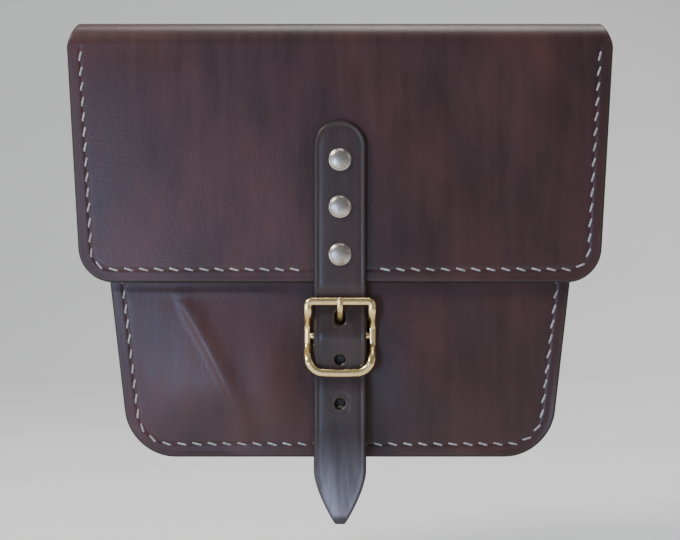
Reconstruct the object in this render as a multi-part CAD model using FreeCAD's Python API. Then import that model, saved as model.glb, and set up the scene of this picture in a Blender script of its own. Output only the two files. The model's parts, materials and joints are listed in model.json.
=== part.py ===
import FreeCAD, Part
import math
import os

# Leather side bag for a motorcycle, closed by one strap and a centre-bar buckle.
#
# Units are millimetres. X runs along the bag, -Y points out of the front, +Z is up. The origin is the centre
# of the four mounting holes, on the back panel's outer face.

V = FreeCAD.Vector

# ---- Overall sizes. A level is a height above the bag's bottom edge.
BAG_HEIGHT = 208.0
BAG_DEPTH = 80.0
BODY_WIDTH_BOTTOM = 202.0
BODY_WIDTH_TOP = 248.0
BODY_CORNER_RADIUS = 22.0
FLAP_WIDTH_TOP = 260.0
FLAP_WIDTH_EDGE = 248.0
FLAP_EDGE_LEVEL = 84.0
FLAP_CORNER_RADIUS = 16.0
FLAP_BEND_RADIUS = 10.0

# ---- Leather
PANEL_THICKNESS = 2.8
LINING_THICKNESS = 0.8
LINING_START = 6.0
FLAP_GAP = 1.9
GUSSET_THICKNESS = 2.4
GUSSET_FLANGE = 12.0
GUSSET_INSET = 0.8
MOUTH_DROP = 9.0
HINGE_GAP = 0.3

# ---- Back stiffener and the four mounting eyelets
STIFFENER_THICKNESS = 2.2
STIFFENER_INSET = 17.0
STIFFENER_DROP = 16.0
MOUNT_DROP = 92.0
MOUNT_SPACING_X = 150.0
MOUNT_SPACING_Z = 100.0
MOUNT_HOLE_RADIUS = 3.2
EYELET_WALL = 1.0
EYELET_FLANGE_RADIUS = 7.5
EYELET_FLANGE_THICKNESS = 0.8

# ---- Closing strap
STRAP_WIDTH = 25.0
STRAP_THICKNESS = 3.0
STRAP_ABOVE_EDGE = 77.3
STRAP_HOLE_RADIUS = 2.1
STRAP_HOLE_PITCH = 21.0
STRAP_SPARE_HOLES = 2
STRAP_FIRST_HOLE_RISE = 10.0
STRAP_TIP_LENGTH = 25.0
STRAP_TIP_WIDTH = 4.4
TAIL_LENGTH = 88.6
TAIL_KICK = 7.0

# ---- Buckle, its prong and the chape that holds it
BUCKLE_BELOW_EDGE = 25.4
CHAPE_THICKNESS = 1.8
CHAPE_WIDTH = 23.0
CHAPE_LENGTH = 43.0
CHAPE_LAP_GAP = 0.2
BAR_RADIUS = 1.75
RAIL_WIDTH = 3.9
RAIL_THICKNESS = 3.4
RAIL_ROUND = 1.0
RAIL_DIP = 5.0
RAIL_SHOULDER = 11.5
RAIL_BEND = 9.0
END_BAR_HEIGHT = 3.8
END_BAR_REACH = 16.7
BUCKLE_SIDE_CLEARANCE = 0.8
BUCKLE_TOP_RADIUS = 3.0
BUCKLE_BOTTOM_RADIUS = 9.0
BUCKLE_WINDOW_TOP_RADIUS = 1.6
BUCKLE_WINDOW_BOTTOM_RADIUS = 5.2
PRONG_WIDTH = 3.4
PRONG_THICKNESS = 2.2
PRONG_EYE_WALL = 1.2
PRONG_EYE_WIDTH = 4.4
BUCKLE_TILT_ROOM = -3.0
GAP = 0.3
RUNNING_CLEARANCE = 0.05
SLOPE_ROOM = 1.0

# ---- Rivets
STRAP_RIVET_RISES = (13.6, 36.2, 58.5)
STRAP_RIVET_RADIUS = 5.4
STRAP_RIVET_HEIGHT = 2.2
CHAPE_RIVET_DROPS = (23.5, 37.0)
CHAPE_RIVET_RADIUS = 4.5
CHAPE_RIVET_HEIGHT = 1.3
RIVET_POST_RADIUS = 1.6
RIVET_BASE_HEIGHT = 1.0
RIVET_FIT = 0.05
PATCH_THICKNESS = 2.0
PATCH_WIDTH = 34.0
PATCH_MARGIN = 6.0
PATCH_CORNER_RADIUS = 5.0

# ---- Stitching
STITCH_PITCH = 7.2
STITCH_LENGTH = 4.8
STITCH_WIDTH = 1.0
STITCH_HEIGHT = 0.5
STITCH_INSET = 6.3
STITCH_SLANT = 14.0
STITCH_END_ROOM = 2.0
GROOVE_WIDTH = 3.0
GROOVE_DEPTH = 0.6

# ---- Sizes that follow from the ones above
SIDE_SLOPE = (BODY_WIDTH_TOP - BODY_WIDTH_BOTTOM) / 2 / BAG_HEIGHT
FLAP_DROP = BAG_HEIGHT - FLAP_EDGE_LEVEL
MOUNT_LEVEL = BAG_HEIGHT - MOUNT_DROP
FLAP_SLOPE = (FLAP_WIDTH_TOP - FLAP_WIDTH_EDGE) / 2 / FLAP_DROP
FLAP_THICKNESS = PANEL_THICKNESS + LINING_THICKNESS
FLAP_FACE = FLAP_GAP + FLAP_THICKNESS
MOUTH_LEVEL = BAG_HEIGHT - MOUTH_DROP
FOLD_LEVEL = BAG_HEIGHT - PANEL_THICKNESS / 2
BUCKLE_LEVEL = FLAP_EDGE_LEVEL - BUCKLE_BELOW_EDGE
STRAP_HALF = STRAP_THICKNESS / 2
STRAP_LIFT = FLAP_FACE + STRAP_HALF
FLEX_RISE = BUCKLE_BELOW_EDGE + STRAP_HALF
CHAPE_STACK = 2 * CHAPE_THICKNESS + CHAPE_LAP_GAP
BAR_LIFT = CHAPE_THICKNESS + RUNNING_CLEARANCE + BAR_RADIUS
FOLD_RADIUS = BAR_RADIUS + RUNNING_CLEARANCE + CHAPE_THICKNESS
END_BAR_FACE = CHAPE_STACK + GAP + STRAP_THICKNESS + SLOPE_ROOM
END_BAR_LIFT = END_BAR_FACE + RAIL_THICKNESS / 2
BUCKLE_OPENING = STRAP_WIDTH + 2 * BUCKLE_SIDE_CLEARANCE
BUCKLE_WIDTH = BUCKLE_OPENING + 2 * RAIL_WIDTH
EYELET_RADIUS = MOUNT_HOLE_RADIUS + EYELET_WALL
FAR = 2 * (BAG_HEIGHT + BAG_DEPTH + FLAP_WIDTH_TOP)


def height(level):
    """The Z of a level."""
    return level - MOUNT_LEVEL


def at(rise, lift):
    """(y, z) of a point so far above the buckle's centre bar and so far out of the front panel's face."""
    return -BAG_DEPTH - lift, height(BUCKLE_LEVEL + rise)


def path_at(places):
    """A path of (y, z, radius) from a list of (rise, lift, radius)."""
    return [(*at(rise, lift), radius) for rise, lift, radius in places]


# ---- Shape helpers
def unit(a, b):
    """The unit vector from 2D point a to 2D point b."""
    length = math.hypot(b[0] - a[0], b[1] - a[1])
    return (b[0] - a[0]) / length, (b[1] - a[1]) / length


def moved(point, *steps):
    """A 2D point moved by (distance, direction) steps."""
    return tuple(point[k] + sum(distance * way[k] for distance, way in steps) for k in (0, 1))


def rounded_edges(points, offset, place):
    """Edges of the parallel of a rounded polyline, at an offset to its left. Points are (a, b, radius)."""
    ways = [unit(p, q) for p, q in zip(points, points[1:])]
    normals = [(-way[1], way[0]) for way in ways]
    start = moved(points[0], (offset, normals[0]))
    edges = []

    def line_to(end):
        if math.dist(start, end) > 1e-6:
            edges.append(Part.makeLine(place(start), place(end)))

    for i, point in enumerate(points[1:-1]):
        before, after, radius = ways[i], ways[i + 1], point[2]
        cross = before[0] * after[1] - before[1] * after[0]
        turn = math.atan2(cross, before[0] * after[0] + before[1] * after[1])
        middle = unit((0, 0), moved(normals[i], (1, normals[i + 1])))
        if radius == 0:
            corner = moved(point, (offset / math.cos(turn / 2), middle))
            line_to(corner)
            start = corner
            continue
        reach = radius * math.tan(abs(turn) / 2)
        bulge = math.copysign(radius * (1 / math.cos(turn / 2) - 1), turn)
        first = moved(point, (-reach, before), (offset, normals[i]))
        crown = moved(point, (bulge + offset, middle))
        last = moved(point, (reach, after), (offset, normals[i + 1]))
        line_to(first)
        edges.append(Part.Arc(place(first), place(crown), place(last)).toShape())
        start = last
    line_to(moved(points[-1], (offset, normals[-1])))
    return edges


def strip(path, left, right, width):
    """A strip in the YZ plane between two parallels of a rounded path, extruded along X about the middle."""
    def place(p):
        return V(-width / 2, p[0], p[1])

    one, other = rounded_edges(path, left, place), rounded_edges(path, right, place)
    near = Part.makeLine(one[0].firstVertex().Point, other[0].firstVertex().Point)
    far = Part.makeLine(one[-1].lastVertex().Point, other[-1].lastVertex().Point)
    wire = Part.Wire([*one, far, *reversed(other), near])
    return Part.Face(wire).extrude(V(width, 0, 0))


def band(path, thickness, width):
    """A strip that lies evenly about its path."""
    return strip(path, thickness / 2, -thickness / 2, width)


def outline_wire(corners, y, closed):
    """A wire in the XZ plane through rounded corners (x, z, radius)."""
    if closed:
        seam = ((corners[0][0] + corners[-1][0]) / 2, (corners[0][1] + corners[-1][1]) / 2, 0.0)
        corners = [seam, *corners, seam]
    return Part.Wire(rounded_edges(corners, 0.0, lambda p: V(p[0], y, p[1])))


def slab(corners, y_from, y_to):
    """A plate with a rounded outline in the XZ plane, from one Y to another."""
    return Part.Face(outline_wire(corners, y_from, True)).extrude(V(0, y_to - y_from, 0)).removeSplitter()


def mirror_corners(left_side):
    """A symmetric outline from its left side, listed from the top down."""
    return [*left_side, *[(-x, z, radius) for x, z, radius in reversed(left_side)]]


def along_y(x, y, z, radius, length):
    """A cylinder along Y from a point. A negative length runs towards the front."""
    return Part.makeCylinder(radius, abs(length), V(x, y, z), V(0, math.copysign(1, length), 0))


def cross_bar(y, z, radius, width):
    """A cylinder along X, about the middle."""
    return Part.makeCylinder(radius, width, V(-width / 2, y, z), V(1, 0, 0))


def punch(shape, places, radius):
    """Round holes right through a shape along Y, at (x, z) places."""
    for x, z in places:
        shape = shape.cut(along_y(x, -FAR / 2, z, radius, FAR))
    return shape


# ---- Outlines in the XZ plane
def body_outline(inset, top):
    """The body's trapezoid with rounded lower corners, drawn in by an inset, up to a level."""
    across = inset * math.hypot(1, SIDE_SLOPE)
    half_low = BODY_WIDTH_BOTTOM / 2 + SIDE_SLOPE * inset - across
    half_top = BODY_WIDTH_BOTTOM / 2 + SIDE_SLOPE * top - across
    radius = BODY_CORNER_RADIUS - inset
    return mirror_corners([(-half_top, height(top), 0.0), (-half_low, height(inset), radius)])


def flap_outline(inset, top):
    """The flap's front outline, drawn in by an inset, from its lower edge up to a level."""
    across = inset * math.hypot(1, FLAP_SLOPE)
    half_low = FLAP_WIDTH_EDGE / 2 + FLAP_SLOPE * inset - across
    half_top = FLAP_WIDTH_EDGE / 2 + FLAP_SLOPE * (top - FLAP_EDGE_LEVEL) - across
    low = height(FLAP_EDGE_LEVEL + inset)
    radius = FLAP_CORNER_RADIUS - inset
    return mirror_corners([(-half_top, height(top), 0.0), (-half_low, low, radius)])


def tail_outline():
    """The closing strap's outline, down to its blunt point."""
    half, tip = STRAP_WIDTH / 2, STRAP_TIP_WIDTH / 2
    tip_z = at(-TAIL_LENGTH, 0)[1]
    return mirror_corners([
        (-half, height(BAG_HEIGHT), 0.0),
        (-half, tip_z + STRAP_TIP_LENGTH, STRAP_WIDTH),
        (-half * 0.76, tip_z + STRAP_TIP_LENGTH * 0.55, STRAP_WIDTH),
        (-tip, tip_z, tip * 0.8),
    ])


# ---- Places of holes, as (x, z)
def mount_places():
    """The four mounting holes."""
    return [(sx * MOUNT_SPACING_X / 2, sz * MOUNT_SPACING_Z / 2) for sx in (-1, 1) for sz in (-1, 1)]


def chape_rivet_places():
    """The rivets through the chape, the front panel and its patch."""
    return [(0.0, at(-drop, 0)[1]) for drop in CHAPE_RIVET_DROPS]


def strap_rivet_places():
    """The rivets through the closing strap and the flap."""
    return [(0.0, height(FLAP_EDGE_LEVEL + rise)) for rise in STRAP_RIVET_RISES]


# ---- Body
def make_front_panel():
    """The front panel, with holes for the chape's rivets."""
    panel = slab(body_outline(0.0, MOUTH_LEVEL), -BAG_DEPTH, -BAG_DEPTH + PANEL_THICKNESS)
    return punch(panel, chape_rivet_places(), RIVET_POST_RADIUS + RIVET_FIT)


def make_back_panel():
    """The back panel up to the fold, with a stitching groove and recessed holes for the eyelets."""
    top = FOLD_LEVEL - PANEL_THICKNESS / 2 - HINGE_GAP
    panel = slab(body_outline(0.0, top), -PANEL_THICKNESS, 0.0)
    groove = slab(body_outline(STITCH_INSET - GROOVE_WIDTH / 2, MOUTH_LEVEL), -GROOVE_DEPTH, GROOVE_DEPTH)
    inside = slab(body_outline(STITCH_INSET + GROOVE_WIDTH / 2, MOUTH_LEVEL), -FAR, FAR)
    panel = panel.cut(groove.cut(inside))
    for x, z in mount_places():
        panel = panel.cut(along_y(x, 0.0, z, EYELET_FLANGE_RADIUS + RIVET_FIT, -EYELET_FLANGE_THICKNESS))
    return punch(panel, mount_places(), EYELET_RADIUS + RIVET_FIT)


def make_gusset():
    """The U-shaped side and bottom strip. Its edges turn out into flanges that are sewn to the panels."""
    front, back = -BAG_DEPTH + PANEL_THICKNESS, -PANEL_THICKNESS
    above = BAG_HEIGHT + GUSSET_FLANGE
    web = GUSSET_INSET + GUSSET_FLANGE
    gusset = slab(body_outline(GUSSET_INSET, MOUTH_LEVEL), front, back)
    gusset = gusset.cut(slab(body_outline(web + GUSSET_THICKNESS, above), front - 1, back + 1))
    channel = Part.makeBox(FAR, back - front - 2 * GUSSET_THICKNESS, FAR)
    channel.translate(V(-FAR / 2, front + GUSSET_THICKNESS, -FAR / 2))
    return gusset.cut(channel.cut(slab(body_outline(web, above), front - 1, back + 1)))


def make_back_stiffener():
    """The flat plastic plate inside the back panel."""
    top = MOUTH_LEVEL - STIFFENER_DROP
    plate = slab(body_outline(STIFFENER_INSET, top), -PANEL_THICKNESS - STIFFENER_THICKNESS, -PANEL_THICKNESS)
    return punch(plate, mount_places(), EYELET_RADIUS + RIVET_FIT)


def make_mount_eyelets():
    """Four brass eyelets, each a tube with a flange outside, flush with the leather, and one inside."""
    depth = PANEL_THICKNESS + STIFFENER_THICKNESS + EYELET_FLANGE_THICKNESS
    eyelets = []
    for x, z in mount_places():
        eyelet = along_y(x, 0.0, z, EYELET_RADIUS, -depth)
        eyelet = eyelet.fuse(along_y(x, 0.0, z, EYELET_FLANGE_RADIUS, -EYELET_FLANGE_THICKNESS))
        eyelet = eyelet.fuse(along_y(x, -depth, z, EYELET_FLANGE_RADIUS, EYELET_FLANGE_THICKNESS))
        eyelets.append(eyelet.cut(along_y(x, -FAR / 2, z, MOUNT_HOLE_RADIUS, FAR)).removeSplitter())
    return Part.makeCompound(eyelets)


def make_front_patch():
    """The leather patch inside the front panel, behind the chape's rivets."""
    heights = [z for _, z in chape_rivet_places()]
    half, radius = PATCH_WIDTH / 2, PATCH_CORNER_RADIUS
    corners = mirror_corners([
        (-half, max(heights) + PATCH_MARGIN, radius),
        (-half, min(heights) - PATCH_MARGIN, radius),
    ])
    inner = -BAG_DEPTH + PANEL_THICKNESS
    patch = slab(corners, inner, inner + PATCH_THICKNESS)
    return punch(patch, chape_rivet_places(), RIVET_POST_RADIUS + RIVET_FIT)


# ---- Flap
def flap_layer(outer, inner, start):
    """One layer of the flap, between two depths below its outer face, from a distance in front of the back."""
    top, face = height(BAG_HEIGHT), -BAG_DEPTH - FLAP_FACE
    path = [(-start, top, 0.0), (face, top, FLAP_BEND_RADIUS), (face, height(FLAP_EDGE_LEVEL) - 1, 0.0)]
    layer = strip(path, inner, outer, FAR)
    if outer == 0.0:
        layer = layer.fuse(cross_bar(-start, height(FOLD_LEVEL), inner / 2, FAR))
    return trim_to_flap(layer)


def trim_to_flap(layer):
    """Cuts a layer to the flap's outline and punches the rivet holes."""
    above = BAG_HEIGHT + FLAP_CORNER_RADIUS
    layer = layer.common(slab(flap_outline(0.0, above), -FAR / 2, FAR / 2)).removeSplitter()
    reach = BAG_DEPTH / 2
    for x, z in strap_rivet_places():
        layer = layer.cut(along_y(x, -reach, z, RIVET_POST_RADIUS + RIVET_FIT, -FAR / 2))
    return layer


# ---- Closing strap
def make_closing_strap():
    """The part of the closing strap that is riveted to the flap, with a round top end."""
    low, high = FLEX_RISE + STRAP_HALF + HINGE_GAP, BUCKLE_BELOW_EDGE + STRAP_ABOVE_EDGE
    half = STRAP_WIDTH / 2
    corners = mirror_corners([(-half, at(high, 0)[1], half - 0.01), (-half, at(low, 0)[1], 0.0)])
    inner, outer = at(0, FLAP_FACE)[0], at(0, FLAP_FACE + STRAP_THICKNESS)[0]
    return punch(slab(corners, inner, outer), strap_rivet_places(), RIVET_POST_RADIUS + RIVET_FIT)


def tail_path():
    """The closing strap's middle line, from the flap's edge, through the buckle, to the tip."""
    over_bar = BAR_LIFT + FOLD_RADIUS + STRAP_HALF
    over_rivets = CHAPE_STACK + CHAPE_RIVET_HEIGHT + STRAP_HALF + SLOPE_ROOM
    return path_at([
        (FLEX_RISE, STRAP_LIFT, 0.0),
        (BUCKLE_BELOW_EDGE - 1.5, STRAP_LIFT, 10.0),
        (END_BAR_REACH - 1.0, CHAPE_STACK + STRAP_HALF - GAP, 8.0),
        (0.0, over_bar + SLOPE_ROOM, 12.0),
        (-END_BAR_REACH + 0.9, CHAPE_STACK + STRAP_HALF + 2 * GAP, 10.0),
        (-CHAPE_RIVET_DROPS[0] - 2.3, over_rivets, 20.0),
        (-CHAPE_LENGTH, over_rivets, 40.0),
        (-TAIL_LENGTH, over_rivets + TAIL_KICK, 0.0),
    ])


def make_closing_strap_tail():
    """The loose end of the closing strap, with its holes and its point."""
    tail = band(tail_path(), STRAP_THICKNESS, STRAP_WIDTH)
    tail = tail.fuse(cross_bar(*at(FLEX_RISE, STRAP_LIFT), STRAP_HALF, STRAP_WIDTH)).removeSplitter()
    tail = tail.common(slab(tail_outline(), -FAR / 2, FAR / 2))
    rises = [STRAP_FIRST_HOLE_RISE - STRAP_HOLE_PITCH * (n + 1) for n in range(STRAP_SPARE_HOLES)]
    spare = [(0.0, at(rise, 0)[1]) for rise in rises]
    tail = punch(tail, spare, STRAP_HOLE_RADIUS)
    bar = V(0, *at(0, BAR_LIFT))
    for tilt in (0.0, BUCKLE_TILT_ROOM):
        blade = prong_blade(2 * GAP)
        blade.rotate(bar, V(1, 0, 0), tilt)
        tail = tail.cut(blade)
    return tail.removeSplitter()


# ---- Buckle
def make_buckle_chape():
    """The doubled leather tab that wraps the centre bar and is riveted to the front panel."""
    half = CHAPE_THICKNESS / 2
    turn = FOLD_RADIUS - half
    outer = CHAPE_STACK - half
    path = path_at([
        (-CHAPE_LENGTH, half, 0.0),
        (turn, half, turn),
        (turn, BAR_LIFT + turn, turn),
        (-0.8, BAR_LIFT + turn, 2.0),
        (-8.5, outer, 3.0),
        (-CHAPE_LENGTH, outer, 0.0),
    ])
    chape = band(path, CHAPE_THICKNESS, CHAPE_WIDTH)
    slot_half = PRONG_EYE_WIDTH / 2 + GAP
    high, low = at(2 * FOLD_RADIUS, 0)[1], at(-2 * FOLD_RADIUS, 0)[1]
    slot = mirror_corners([(-slot_half, high, 0.0), (-slot_half, low, slot_half - 0.01)])
    chape = chape.cut(slab(slot, -BAG_DEPTH, -BAG_DEPTH - FAR / 4))
    return punch(chape, chape_rivet_places(), RIVET_POST_RADIUS + RIVET_FIT)


def buckle_outline(inset_x, inset_z, top_radius, bottom_radius):
    """The buckle's outline in front view, drawn in by an inset each way."""
    reach = END_BAR_REACH + END_BAR_HEIGHT / 2 - inset_z
    half = BUCKLE_WIDTH / 2 - inset_x
    return mirror_corners([(-half, at(reach, 0)[1], top_radius), (-half, at(-reach, 0)[1], bottom_radius)])


def make_buckle_frame():
    """A centre-bar buckle: its top corners are square, its bottom ones round, and its rails dip to the bar."""
    end = END_BAR_REACH + END_BAR_HEIGHT
    path = path_at([
        (-end, END_BAR_LIFT, 0.0),
        (-RAIL_SHOULDER, END_BAR_LIFT, RAIL_BEND),
        (-RAIL_DIP, BAR_LIFT, RAIL_BEND),
        (RAIL_DIP, BAR_LIFT, RAIL_BEND),
        (RAIL_SHOULDER, END_BAR_LIFT, RAIL_BEND),
        (end, END_BAR_LIFT, 0.0),
    ])
    frame = band(path, RAIL_THICKNESS, 2 * BUCKLE_WIDTH)
    outside = buckle_outline(0.0, 0.0, BUCKLE_TOP_RADIUS, BUCKLE_BOTTOM_RADIUS)
    window = buckle_outline(RAIL_WIDTH, END_BAR_HEIGHT, BUCKLE_WINDOW_TOP_RADIUS, BUCKLE_WINDOW_BOTTOM_RADIUS)
    frame = frame.common(slab(outside, -FAR / 2, FAR / 2)).cut(slab(window, -FAR / 2, FAR / 2))
    frame = frame.makeFillet(RAIL_ROUND, frame.Edges)
    bar = cross_bar(*at(0.0, BAR_LIFT), BAR_RADIUS, BUCKLE_OPENING + RAIL_WIDTH)
    return frame.fuse(bar).removeSplitter()


def prong_blade(grow):
    """The prong's blade, from its eye to its tip on the top end bar. grow widens it as a cutter."""
    rest = END_BAR_FACE + RAIL_THICKNESS + GAP + PRONG_THICKNESS / 2
    root = BAR_LIFT + BAR_RADIUS + RUNNING_CLEARANCE + PRONG_EYE_WALL - PRONG_THICKNESS / 2
    tip = END_BAR_REACH + END_BAR_HEIGHT / 2 + grow
    path = path_at([(0.0, root, 0.0), (6.0, root, 3.0), (13.6, rest, 3.0), (tip, rest, 0.0)])
    return band(path, PRONG_THICKNESS + grow, PRONG_WIDTH + grow)


def make_buckle_prong():
    """The prong: a blade with an eye that turns on the centre bar."""
    centre = at(0.0, BAR_LIFT)
    bore = BAR_RADIUS + RUNNING_CLEARANCE
    eye = cross_bar(*centre, bore + PRONG_EYE_WALL, PRONG_EYE_WIDTH)
    return prong_blade(0.0).fuse(eye).cut(cross_bar(*centre, bore, FAR)).removeSplitter()


# ---- Rivets
def make_rivet_caps(places, face_lift, radius, cap_height, post):
    """Domed caps on a face that is face_lift out of the front panel, each with a post running inwards."""
    rise = cap_height * 0.65
    ball_radius = (radius * radius + rise * rise) / (2 * rise)
    caps = []
    for x, z in places:
        y = at(0, face_lift)[0]
        ball = Part.makeSphere(ball_radius, V(x, y - cap_height + ball_radius, z))
        cap = along_y(x, y, z, radius, -cap_height - 1).common(ball)
        caps.append(cap.fuse(along_y(x, y, z, RIVET_POST_RADIUS, post)).removeSplitter())
    return Part.makeCompound(caps)


def make_rivet_bases(places, inner_lift, radius):
    """Washers that the posts are set into, on a face that is inner_lift out of the front panel."""
    bases = []
    for x, z in places:
        washer = along_y(x, at(0, inner_lift)[0], z, radius, RIVET_BASE_HEIGHT)
        bases.append(punch(washer, [(x, z)], RIVET_POST_RADIUS + RIVET_FIT))
    return Part.makeCompound(bases)


# ---- Stitching
def make_stitching(corners, y, out, keep_clear):
    """Slanted saddle stitches on a face at y, along an open outline, except within keep_clear of the middle."""
    wire = outline_wire(corners, y, False)
    points = wire.discretize(2 * round(wire.Length / STITCH_PITCH) + 1)
    stitches = []
    for before, middle, after in zip(points[::2], points[1::2], points[2::2]):
        if abs(middle.x) < keep_clear:
            continue
        heading = math.degrees(math.atan2(before.z - after.z, after.x - before.x)) + STITCH_SLANT
        box = Part.makeBox(STITCH_LENGTH, STITCH_HEIGHT, STITCH_WIDTH)
        box.translate(V(-STITCH_LENGTH / 2, 0 if out > 0 else -STITCH_HEIGHT, -STITCH_WIDTH / 2))
        box.Placement = FreeCAD.Placement(middle, FreeCAD.Rotation(V(0, 1, 0), heading)) * box.Placement
        stitches.append(box)
    return Part.makeCompound(stitches)


# ---- The whole bag
def make_parts():
    """Every sub-part by its node's name."""
    through_flap = STRAP_THICKNESS + FLAP_THICKNESS + RIVET_BASE_HEIGHT
    through_front = CHAPE_STACK + PANEL_THICKNESS + PATCH_THICKNESS + RIVET_BASE_HEIGHT
    strap_face = FLAP_FACE + STRAP_THICKNESS
    body_row = body_outline(STITCH_INSET, MOUTH_LEVEL - STITCH_END_ROOM)
    flap_row = flap_outline(STITCH_INSET, BAG_HEIGHT - FLAP_BEND_RADIUS - STITCH_END_ROOM)
    return {
        "front_panel": make_front_panel(),
        "back_panel": make_back_panel(),
        "gusset": make_gusset(),
        "back_stiffener": make_back_stiffener(),
        "mount_eyelets": make_mount_eyelets(),
        "front_patch": make_front_patch(),
        "front_stitching": make_stitching(body_row, -BAG_DEPTH, -1, 0.0),
        "back_stitching": make_stitching(body_row, -GROOVE_DEPTH, 1, 0.0),
        "buckle_chape": make_buckle_chape(),
        "chape_rivet_caps": make_rivet_caps(
            chape_rivet_places(), CHAPE_STACK, CHAPE_RIVET_RADIUS, CHAPE_RIVET_HEIGHT, through_front
        ),
        "chape_rivet_bases": make_rivet_bases(
            chape_rivet_places(), -PANEL_THICKNESS - PATCH_THICKNESS, CHAPE_RIVET_RADIUS
        ),
        "buckle_frame": make_buckle_frame(),
        "buckle_prong": make_buckle_prong(),
        "flap_outer": flap_layer(0.0, PANEL_THICKNESS, PANEL_THICKNESS / 2),
        "flap_lining": flap_layer(PANEL_THICKNESS, FLAP_THICKNESS, LINING_START),
        "flap_stitching": make_stitching(flap_row, -BAG_DEPTH - FLAP_FACE, -1, STRAP_WIDTH / 2 + STITCH_LENGTH),
        "closing_strap": make_closing_strap(),
        "closing_strap_tail": make_closing_strap_tail(),
        "strap_rivet_caps": make_rivet_caps(
            strap_rivet_places(), strap_face, STRAP_RIVET_RADIUS, STRAP_RIVET_HEIGHT, through_flap
        ),
        "strap_rivet_bases": make_rivet_bases(strap_rivet_places(), FLAP_GAP, STRAP_RIVET_RADIUS),
    }


def main():
    """Builds every sub-part, checks it and writes it as a STEP file."""
    os.makedirs("parts", exist_ok=True)
    for name, shape in make_parts().items():
        bad = [solid for solid in shape.Solids if not solid.isValid() or solid.Volume <= 0]
        if bad or not shape.Solids:
            raise ValueError(f"{name} has {len(shape.Solids)} solids, and {len(bad)} of them are bad")
        shape.exportStep(f"parts/{name}.step")
        box = shape.BoundBox
        spans = ", ".join(f"{low:.1f}..{high:.1f}" for low, high in (
            (box.XMin, box.XMax), (box.YMin, box.YMax), (box.ZMin, box.ZMax)
        ))
        print(f"{name}: {len(shape.Solids)} solids, {shape.Volume / 1000:.2f} cm3, {spans}")
    print("flap hinge (y, z)", (-PANEL_THICKNESS / 2, height(FOLD_LEVEL)))
    print("strap flex (y, z)", at(FLEX_RISE, STRAP_LIFT))
    print("buckle bar (y, z)", at(0.0, BAR_LIFT))


main()
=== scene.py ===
"""Finished looks of a small leather motorcycle side bag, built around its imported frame.

Lengths in this script are millimetres until a mesh is made, and metres after that. X runs along the bag, -Y points
out of the front and +Z is up. A leather piece is cut flat, as (x, s), and then carried along a route in space.
"""

import json
import logging
import math
from dataclasses import dataclass, field
from enum import Enum
from typing import Callable, Optional, Sequence, Union

import bmesh
import bpy
import numpy as np
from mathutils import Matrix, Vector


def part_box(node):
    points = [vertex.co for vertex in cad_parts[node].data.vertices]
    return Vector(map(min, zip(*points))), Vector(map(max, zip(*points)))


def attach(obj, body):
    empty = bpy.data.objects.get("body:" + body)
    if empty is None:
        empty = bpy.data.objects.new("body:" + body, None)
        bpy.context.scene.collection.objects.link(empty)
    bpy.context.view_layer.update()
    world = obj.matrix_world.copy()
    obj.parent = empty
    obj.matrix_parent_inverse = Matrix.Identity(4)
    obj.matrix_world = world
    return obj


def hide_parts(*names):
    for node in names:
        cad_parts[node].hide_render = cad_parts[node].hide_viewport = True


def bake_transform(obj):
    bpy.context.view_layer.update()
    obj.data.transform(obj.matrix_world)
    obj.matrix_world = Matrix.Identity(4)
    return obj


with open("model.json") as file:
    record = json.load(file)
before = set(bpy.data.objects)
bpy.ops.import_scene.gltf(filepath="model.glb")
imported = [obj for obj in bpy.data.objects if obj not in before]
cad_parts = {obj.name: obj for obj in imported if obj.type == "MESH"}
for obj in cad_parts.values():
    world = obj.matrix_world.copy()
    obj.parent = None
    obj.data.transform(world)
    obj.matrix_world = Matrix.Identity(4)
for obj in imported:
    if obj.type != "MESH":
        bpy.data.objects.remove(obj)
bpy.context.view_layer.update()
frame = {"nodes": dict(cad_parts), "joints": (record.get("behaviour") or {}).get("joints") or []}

LOG = logging.getLogger("saddlebag")
METRE = 1000.0
Array = np.ndarray
Place = Callable[[Array, Array, Array], Array]


# ---- Places that come from the frame


def joint_place(name: str) -> tuple[float, float]:
    """The (y, z) of a joint's axis, in millimetres."""
    joint = next(j for j in frame["joints"] if j["name"] == name)
    return joint["pos_m"][1] * METRE, joint["pos_m"][2] * METRE


def node_box(name: str) -> tuple[Array, Array]:
    """The lowest and highest corner of a CAD node, in millimetres."""
    low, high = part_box(name)
    return np.array(low) * METRE, np.array(high) * METRE


HINGE_Z = joint_place("flap_hinge")[1]
FLEX_Y, FLEX_Z = joint_place("strap_flex")
BAR_Y, BAR_Z = joint_place("buckle_tilt")
(_, FRONT_Y, BOTTOM_Z), (_, _, MOUTH_Z) = node_box("front_panel")
(_, FLAP_Y, EDGE_Z), (_, _, TOP_Z) = node_box("flap_outer")


# ---- Routes


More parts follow.
